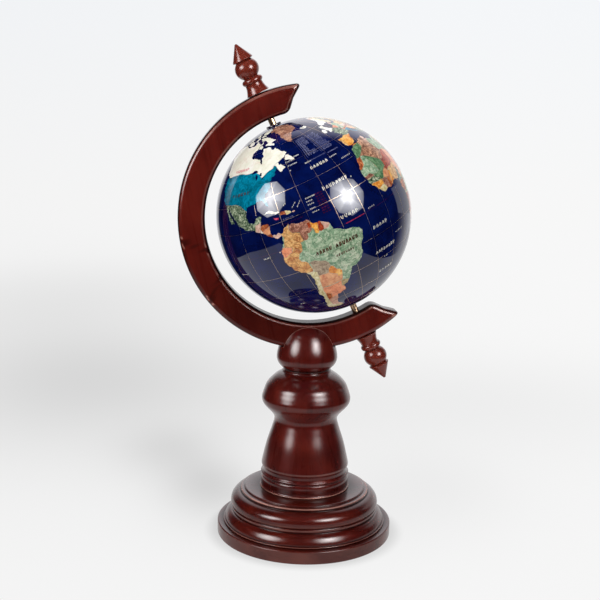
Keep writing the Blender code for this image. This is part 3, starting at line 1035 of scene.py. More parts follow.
def add_world():
    """A dark room in front, pale behind: seen only in the polish and as dim fill."""
    world = bpy.data.worlds.new("studio")
    bpy.context.scene.world = world
    world.use_nodes = True
    tree = world.node_tree
    tree.nodes.clear()
    looked_at = node(tree, "ShaderNodeTexCoord").outputs["Generated"]
    room = DARK_ROOM
    for middle, nearness, colour in ROOM_PARTS:
        near = vector_maths(tree, "DOT_PRODUCT", looked_at, tuple(middle.normalized()),
                            result="Value")
        room = blend(tree, ranged(tree, near, nearness, kind="SMOOTHSTEP"), room, colour)
    shown = node(tree, "ShaderNodeLightPath").outputs["Is Camera Ray"]
    sky = node(tree, "ShaderNodeBackground", {"Color": blend(tree, shown, room, SKY_SEEN),
                                              "Strength": 1.0})
    node(tree, "ShaderNodeOutputWorld", {"Surface": sky.outputs[0]})


# ------------------------------ floor and backdrop

# What the polish mirrors from below: a sheet of white paper, darker under the object where a shadow is
# painted
SHEET = ((-0.41, -0.41), (0.34, -0.36), (0.41, -0.05), (0.62, 0.5), (1.1, 1.5), (-0.33, 1.5),
         (-0.36, 0.3), (-0.43, 0.0))
SHEET_DROP = 0.6 * MM                # below the foot
SHEET_NEAR_FAR = (0.07, 0.2)         # distances from the middle, and its glow there
SHEET_GLOW = (0.6, 0.84)
# The outline of the round backdrop that the camera sees: radius and height
DISH = ((0.3, 0.0), (1.6, 0.0), (1.9, 0.04), (2.1, 0.16), (2.2, 0.4), (2.25, 1.2), (2.2, 2.2))
DISH_STEPS = 128
# Painted soft shadows on the backdrop: place (x, y), reach along x and y, depth
SHADES = (
    ((-0.21, 0.44), (0.20, 0.27), 0.17), ((-0.074, 0.10), (0.040, 0.07), 0.18),
    ((-0.11, 0.20), (0.05, 0.08), 0.13), ((-0.30, 0.90), (0.30, 0.50), 0.13),
    ((0.20, 0.36), (0.30, 0.22), 0.07), ((0.13, 0.09), (0.07, 0.10), 0.05),
    ((0.0, 0.03), (0.10, 0.09), 0.07),
)
SHADE_HEIGHT = 0.5                   # reach of every shade upwards
NATURAL_BASE = 2.71828
CONTACT_SHADE = 0.2                  # depth at the foot's edge
CONTACT_REACH = (0.0685, 0.083)      # from the middle: where it is full and where it ends
# Painted light: the paper glows a little less on the left than on the right
PAPER_SIDES = (-0.6, 0.6)            # left and right, and the paper's glow there
PAPER_GLOW = (0.925, 0.955)
PAPER_LEVEL = 0.975
COOL_PAPER = (0.955, 0.985, 1.025, 1)
COOL_HEIGHTS = (0.1, 1.0)            # where the paper starts to look cool and is coolest


def floor_material():
    """White paper that glows, dimmer towards the middle where a shadow is painted: what the polish
    mirrors from below.
    """
    made, tree, lit = glow("white_floor")
    spot = node(tree, "ShaderNodeTexCoord").outputs["Object"]
    distance = vector_maths(tree, "LENGTH", spot, result="Value")
    feed(tree, lit, {"Strength": ranged(tree, distance, SHEET_NEAR_FAR, SHEET_GLOW)})
    return made


def shading(tree, spot):
    """How dark the painted soft shadows are together; each fades like a bell round its place."""
    total = None
    for (x, y), (reach_x, reach_y), depth in SHADES:
        offset = vector_maths(tree, "SUBTRACT", spot, (x, y, 0))
        scaled = vector_maths(tree, "MULTIPLY", offset,
                              (1 / reach_x, 1 / reach_y, 1 / SHADE_HEIGHT))
        square = vector_maths(tree, "DOT_PRODUCT", scaled, scaled, result="Value")
        bell = maths(tree, "POWER", NATURAL_BASE, maths(tree, "MULTIPLY", square, -1))
        shade = maths(tree, "MULTIPLY", bell, depth)
        total = shade if total is None else maths(tree, "ADD", total, shade)
    return total


def backdrop_material(name, with_contact_shadow):
    """Pale paper that only the camera sees, with painted soft shadows and painted light brighter to the
    right; with a painted contact shadow it is darker close to the foot.
    """
    made, tree, lit = glow(name)
    spot = node(tree, "ShaderNodeTexCoord").outputs["Object"]
    parts = node(tree, "ShaderNodeSeparateXYZ", {0: spot}).outputs
    dark = shading(tree, spot)
    if with_contact_shadow:
        distance = vector_maths(tree, "LENGTH", spot, result="Value")
        close = ranged(tree, distance, CONTACT_REACH, (CONTACT_SHADE, 0), "SMOOTHSTEP")
        dark = maths(tree, "ADD", dark, close)
    pale = ranged(tree, parts["X"], PAPER_SIDES, PAPER_GLOW)
    level = maths(tree, "MULTIPLY", maths(tree, "SUBTRACT", pale, dark), PAPER_LEVEL)
    tint = blend(tree, ranged(tree, parts["Z"], COOL_HEIGHTS), WHITE, COOL_PAPER)
    feed(tree, lit, {"Color": tint, "Strength": level})
    return made


def ring_of(radius, height):
    """The points of a level circle."""
    return [(radius * math.cos(2 * math.pi * i / DISH_STEPS),
             radius * math.sin(2 * math.pi * i / DISH_STEPS), height)
            for i in range(DISH_STEPS)]


def add_stage():
    """A sheet that the polish mirrors; a backdrop and its middle that the camera sees."""
    sheet = [(x, y, -SHEET_DROP) for x, y in SHEET]
    stage_piece("floor", sheet, [tuple(range(len(sheet)))], floor_material(), lit=True)
    verts = [point for radius, height in DISH for point in ring_of(radius, height)]
    faces = [(row + i, row + (i + 1) % DISH_STEPS,
              row + DISH_STEPS + (i + 1) % DISH_STEPS, row + DISH_STEPS + i)
             for row in range(0, len(verts) - DISH_STEPS, DISH_STEPS)
             for i in range(DISH_STEPS)]
    stage_piece("backdrop", verts, faces, backdrop_material("pale_backdrop", False),
                seen=True, mirrored=False)
    stage_piece("contact", ring_of(*DISH[0]), [tuple(range(DISH_STEPS))],
                backdrop_material("contact_shadow_paper", True), seen=True, mirrored=False)


# ------------------------------ the map on the ball

MAP_POLE = Vector((-0.4308, -0.0517, 0.901)).normalized()
MAP_ZERO = Vector((0.7402, -0.5913, 0.32))      # towards latitude 0, longitude 0
MAP_ZERO = (MAP_ZERO - MAP_POLE * MAP_ZERO.dot(MAP_POLE)).normalized()
MAP_EAST = MAP_POLE.cross(MAP_ZERO)
MAP = np.array((MAP_ZERO, MAP_EAST, MAP_POLE))

SKIN_POINTS = 38000                  # about 1.4 mm apart
SKIN_CLEARANCE = 0.55 * MM           # bare strip of the skin's mesh beside a cut line
BORE_SIDES = 48
BORE_DEPTH = 8.3 * MM
BORE_ANGLE = math.asin(BORE_RADIUS / GLOBE_RADIUS)
MAP_SEED = 41
CUT_STEP = 0.85                      # degrees between points on a cut line
LAND_ROUGHNESS = 0.16                # how far a cut line wanders, as a share of its sides
ICE_ROUGHNESS = 0.14
LAKE_ROUGHNESS = 0.1
COUNTRY_ROUGHNESS = 0.06


def outlines(text):
    """Each outline in a text: its stone, and its places as longitude and latitude."""
    found = []
    for word in text.split():
        if word.endswith(":"):
            found.append((word[:-1], []))
        else:
            found[-1][1].append(tuple(map(float, word.split(","))))
    return found


# Coasts: each entry is one piece of land with its usual stone
LANDS = outlines("""
shell: -168,65.5 -166,68.3 -162,70.2 -156.5,71.2 -150,70.5 -141,69.7 -136,69 -130,70 -124,70 -118,69
  -114,68.2 -108,68 -102,68 -97,68.2 -95,71.5 -92.5,71 -92,69.5 -88,68.5 -86,67.3 -82,69.5 -81.5,67.5
  -86,66.3 -87.5,64.5 -91,63 -94.5,60.5 -94.8,58.8 -92.5,57 -88,56.5 -85,55.3 -82.8,54.8 -82.8,53
  -81.8,51.3 -80.6,51.5 -80.8,54.3 -79,56 -80.8,58.5 -80,62.4 -74,62.3 -70,61 -69.5,58.8 -67,58.5
  -64.8,59.6 -62.5,57.4 -60.5,55 -57.5,54 -56,52.6 -58.8,51 -60.5,49.8 -64,48.9 -66,48.2 -68.5,48
  -71,46.9 -67,48.2 -65.8,47.6 -66,46.8 -65.2,46 -64.2,46.3 -63,45 -61.5,43.4 -63,42.8 -66,41.6 -67,43
  -68.2,44.8 -69,44 -70.5,43.2 -70.7,41.9 -70,41.7 -71.5,40.8 -74,40.3 -74.6,39 -75.5,38.5 -76,37
  -75.6,35.3 -77.5,34.2 -79.3,33 -81.2,31.5 -81.3,29.5 -80.2,27 -80.3,25.3 -81.7,26 -82.8,28 -83.8,29.8
  -85.3,29.8 -88,29.8 -89.2,28.9 -91,29 -94.5,28.8 -96.3,27.6 -97.3,25.5 -97.6,22.5 -96.8,20.4
  -95.6,19.3 -93.6,18.9 -92,19 -90.8,20.2 -90,21.3 -88,21.6 -86.6,21 -87.4,19.5 -88.2,17.8 -88.5,16.4
  -86,16.6 -83.3,15.8 -83.6,12.5 -83.7,10.8 -82.6,9.6 -80.8,9.2 -79.5,10 -77.5,8.9 -78.3,7.9 -80,7.2
  -82,7.6 -84,8.9 -86,10 -88,12.2 -90,13.2 -92.5,13.9 -94.8,15.6 -97,15.8 -101,17.3 -105,19.6
  -106.2,21.5 -109,24.5 -112.2,28 -114.6,31.2 -113.6,28 -110.4,23.6 -109.2,21.4 -111.5,21.2 -114.2,23.6
  -115.6,27.5 -117.4,30.3 -118.4,32.5 -121,34.3 -122.5,37.3 -124.2,40.3 -124,44 -124.6,48.3 -123,49
  -127.5,51 -130.5,55 -134,58.5 -139.5,59.8 -146,61 -149.5,60 -152,58 -158,56.3 -163.5,54.8 -160,58.3
  -165,61 -164,64
greenland_jasper: -73,78 -68,76 -60,76 -55,72 -53.5,69 -54,66 -51,62 -46.6,58.6 -43.5,61.5 -40,65
  -33,67.5 -25,69.5 -22,72 -20,76 -18,80 -25,82.5 -35,83.5 -50,82.5 -62,81.5 -67,80
shell: -64,66 -61.5,66.8 -66.5,69 -70,71 -77,73 -84,73.7 -90,73 -86,70 -80,70 -76,68 -73.5,66.6 -77,65.3
  -77.5,64.4 -72,63.6 -66,62 -65,63.2 -68.5,64.8
shell: -87,66 -83,66 -80.5,64.3 -83,62.6 -86.5,63.5
shell: -117,70 -108,68.8 -102,69.6 -105,72.5 -112,73 -118,72.5
shell: -125.5,72 -120,71.5 -117.5,75 -123,76
shell: -100,71 -97,72.5 -93,74 -100,75.8 -103,73
shell: -92,74.7 -80,74.7 -80,76 -92,76.6
shell: -90,77 -78,77 -65,81.5 -70,83 -90,81.7
shell: -110,75.5 -99,76 -99,79 -112,78.5
shell: -59.8,47.8 -57.5,51 -55.6,50.6 -54.8,49.2 -52.6,46.8 -53.5,45.8 -56,46.6
white_stone: -24.5,65.5 -22,64 -18.5,63.5 -14,64.8 -15,66.3 -20,66 -22.5,66.4
shell: -84.8,21.5 -82.5,22.7 -79.5,22.4 -76,20.9 -74.2,20.2 -77.5,19.7 -77.6,20.5 -81,21.6
rust: -74.6,18.2 -74.3,19.8 -71.2,19.9 -71.2,17.8
cream: -71.2,19.9 -68.4,18.9 -67.8,18 -71.2,17.6
rose: -67.4,18.2 -65.8,18.3 -65.8,17.7 -67.3,17.7
coral_stone: -79,18.4 -76.2,17.6 -76.4,16.6 -78.9,17.4
jade: -77.5,8.9 -76,9.9 -75.3,11.2 -73.6,11.7 -71.9,12.9 -71.4,11.6 -70,12.4 -68,11.3 -65,11 -62,11.1
  -60.2,8.9 -57.6,7.6 -54.6,6.8 -52,5.2 -50.6,2 -50.5,0.2 -48.3,-.4 -45.5,-2 -44,-3 -40,-3.4 -37,-5
  -35.6,-7.6 -36.4,-10.4 -38,-13 -39.5,-17 -41,-22 -44,-24 -48.6,-25 -50.6,-29 -52.4,-32 -54.6,-34.6
  -57.4,-35.2 -57.2,-37 -57.9,-39.6 -61.5,-40.6 -64.6,-41 -65.4,-43.4 -67.4,-46.5 -68,-51 -66,-55.3
  -68.5,-56.3 -72,-56 -76,-54.8 -79.3,-53 -78.4,-49 -76.8,-45 -75,-36.5 -73.6,-30 -72.4,-23.5
  -72.8,-19.4 -75.6,-16.6 -78.4,-14.2 -80.6,-10.5 -82.6,-5.6 -82,-3.6 -81.8,0 -80,2 -78.4,4 -77.9,7
cream: -6,35.8 -2,35.2 3,36.9 10,37.3 11,35 10.2,34 15,32.3 19.5,30.5 20,32.5 23,32.7 29,31 32.5,31.2
  34,28 37,21 39,15.5 43,12.5 43.5,11.3 51,11.8 50,8 45,2 41.5,-2 39.3,-5 39,-8 40.7,-11 40.5,-15.5
  36.5,-18.5 35,-21 35.5,-24 32.8,-26 32,-29 28,-33 25,-34 20,-34.8 18.3,-34 17.5,-30.5 15,-26.5 14,-22
  11.8,-17 13.5,-12 13,-8.5 12,-5 9,-1 9.5,3.5 8.5,4.6 6,4.3 4,6 1,5.6 -2,4.4 -5,4 -8,4.6 -10.5,3.8
  -12,4.6 -14.5,7 -17,10.4 -18.6,13 -18.9,16 -19,20 -18.4,22.2 -16.6,25.6 -14.2,28.4 -13,31.2 -11,34
  -8,35.4
moss: 44.3,-20.5 44,-24.5 46.5,-25.3 50.3,-16 49.3,-12.2 47,-15.5 44.4,-16.8
rose: -12.4,38 -11.5,36.8 -8.5,36 -6,36.1 -4,36.4 -2,37.5 -1,39 .2,41 3.1,42.6 4.5,43.4 8.8,44.4
  10.2,43.9 12.3,41.8 15.7,39.9 16,38 17,40.4 18.5,40.1 16.2,41.7 14,42.3 12.4,44.5 13.6,45.6 15.2,44.2
  19.3,42 19.5,41 21.5,37 23,36.5 24,38 23,39 23.5,40.3 26.2,40.7 29,41.1 28,42 28.6,43.7 30.5,46.4
  33,46.1 33.5,44.5 36.5,45.3 35,46.2 39,47.2 37.5,45.4 39,44 41.5,41.6 38,41 35,42 32,42 29,41.2
  26.3,39.3 27.3,37 30.5,36.3 36,36.8 35.8,35 34.5,31 35,28 39,21.5 42.5,16.5 43.3,12.8 45,12.8 52,15.6
  55,17.2 57.8,19 59.8,22.5 56.8,24.2 56.3,26.2 54,24.2 51,25.5 48.5,28 48,30 50,30 53,26.8 57,26.8
  61.5,25.2 66.8,25 68.5,23.5 70,21 72.7,21.5 72.8,19 74.8,13 77.5,8.1 79.9,10.3 80.2,15 82.3,16.7
  86.5,20 88.5,21.7 91.5,22.5 94,19 94.5,16 97.5,16.5 98.5,13 98.5,8 101,2.8 104.2,1.4 103.5,4 100,9
  101,13.3 104.8,10.5 105,8.7 107,10.5 109,13 106,19 108,21.5 110.5,20.5 114,22.3 118,24.5 121,28
  121.8,31.5 119.5,35 122.3,37 118,39 121.5,39 125,39.5 126.5,37.5 126.5,34.4 129.3,36 127.5,39.5
  130.5,42.5 135,43.5 140,48 141,53 135.5,54.7 142,59 155,59.3 163,61.5 156,57 157,51.2 162.5,56
  163,59.5 170,60 179,62.5 186,64.5 190,66 180,68.8 170,69.5 160,70 140,72.6 127,73 113,73.7 104,77.6
  90,75.5 80,73.5 74,71 70,73 67,71.5 68,68.5 60,69 54,68.5 44,68.3 44,66 37,64.3 34,66.7 40,66.2
  41,67.5 31,70 25.5,71 18,69.5 11,66.5 6,63 1,61.6 -3,59.6 -3.4,57.8 0,57.4 4,58.2 8,57.4 10,59
  11.6,57.6 12.8,56 14.3,55.5 16.5,57 18.8,60 17.3,62 22,65.8 25,65 21.3,61.5 23,60 30,60 23.5,59.2
  24,57.3 21,57 19,54.5 14,54 10.5,54.5 10.5,57.2 7.6,57 6.4,54 2,52.2 -1.5,50.8 -4,48.9 -7,48.4 -4,45.8
  -3.2,43.4 -12.8,43.4
white_stone: -8.7,49.8 -5,49.9 -1.8,50.4 -1.4,52.4 -3.4,54 -4.6,56 -3.6,58 -8.2,58.6 -9.6,56.6 -8.2,55.2
  -8.6,53.4 -7.4,51.8
white_stone: -14.2,51.4 -12,50.9 -10,51.8 -9.4,54.2 -11.6,55 -13.8,54
jade: 140.5,-2.5 144,-3.8 147,-6 150.5,-10.3 147,-9.6 143,-8.6 138,-8.2 132.5,-3.8 131,-1
rust: 95.3,5.5 98.5,3.8 103.5,-1 106,-5.8 104,-5.6 100.3,-1 98,2
amber: 109,1.5 112,3 117,7 119,5 117.5,1 116,-3.8 111,-3.2 109.5,-.8
salmon: 105.5,-6.5 110,-6.6 114.5,-7.8 114,-8.6 106,-7.4
gold_jasper: 119,-5.5 120.5,-2 120,.6 125,1.4 121,-.2 123,-4.8 121,-3.5
turquoise: 120.3,18.4 122.2,18.2 121.6,14.2 124,12.8 120.2,14
turquoise: 122,7 124.5,9.6 126.3,9 125.5,5.8
cream: 113.5,-22 114.2,-26.5 115.8,-32 115.2,-34.3 118.5,-34.8 124,-33 131,-31.5 135.5,-34.8 138,-34
  140.5,-38 146.5,-38.9 150,-37 153.3,-30.5 153,-25 149,-20.5 146,-18.8 145.3,-15 142.5,-10.8 141,-16.5
  139,-17.3 135.5,-14.8 137,-12.2 132,-11.5 129.5,-14.8 126,-14 122.3,-18 117,-20.7
moss: 145,-40.8 148.2,-41 147,-43.5 146,-43.3
aventurine: 172.7,-34.5 175.5,-36.8 178.4,-37.8 175.5,-41.5 173.8,-39.3
aventurine: 172.5,-40.7 174,-41.8 170.8,-45.8 168,-46.6 166.6,-45.8
red_jasper: 130,33.2 132,31 135.5,33.6 139,34.8 141,36 142,39.5 140.4,41.4 139.5,38 136,36 131.5,34.5
red_jasper: 140.2,41.6 143.3,42 145.4,43.5 141.8,45.4
gold_jasper: 79.8,9.5 81.8,7.5 80.6,5.9 79.8,7
aventurine: 142,46 143.3,49 142.7,54.3 142,51
jade: 52,71 56,73.6 68,76.8 60,76 54,73.5
cream: 164.2,-20.2 167,-22.2 166.3,-22.4
""")
ICE = outlines("""
white_stone: -180,-78 -165,-78.5 -150,-77 -135,-74.5 -120,-74 -100,-73 -75,-72.5 -62,-67 -60,-72 -60,-75
  -35,-78 -15,-72 5,-70 20,-70 50,-67 80,-68 110,-66 140,-67 165,-71 170,-77 180,-78
""")[0]
# Water inside the land
LAKES = outlines("""
lapis: -86.8,41.7 -87.2,44 -85.8,45.8 -84.9,44.6 -85.6,42.6
lapis: -91,46.6 -88,48.6 -85,47.8 -84.8,46.5 -88,46.6
lapis: -83.2,44 -82.6,45.8 -81,45.6 -81.4,43.6
lapis: -82.6,41.4 -81,42.6 -79,42.8 -80.8,41.6
lapis: 50,46.5 53,45 53.5,41 54,37.5 50,37.5 49.3,40.5 47.5,43 47,44.8
lapis: 58.3,44 61.4,45 61,46.6 59,46
lapis: 104,51.6 108,53 109.8,55.4 108,54.6
lapis: 31.8,-2.4 34,-1.6 34,.4 31.8,.4
""")
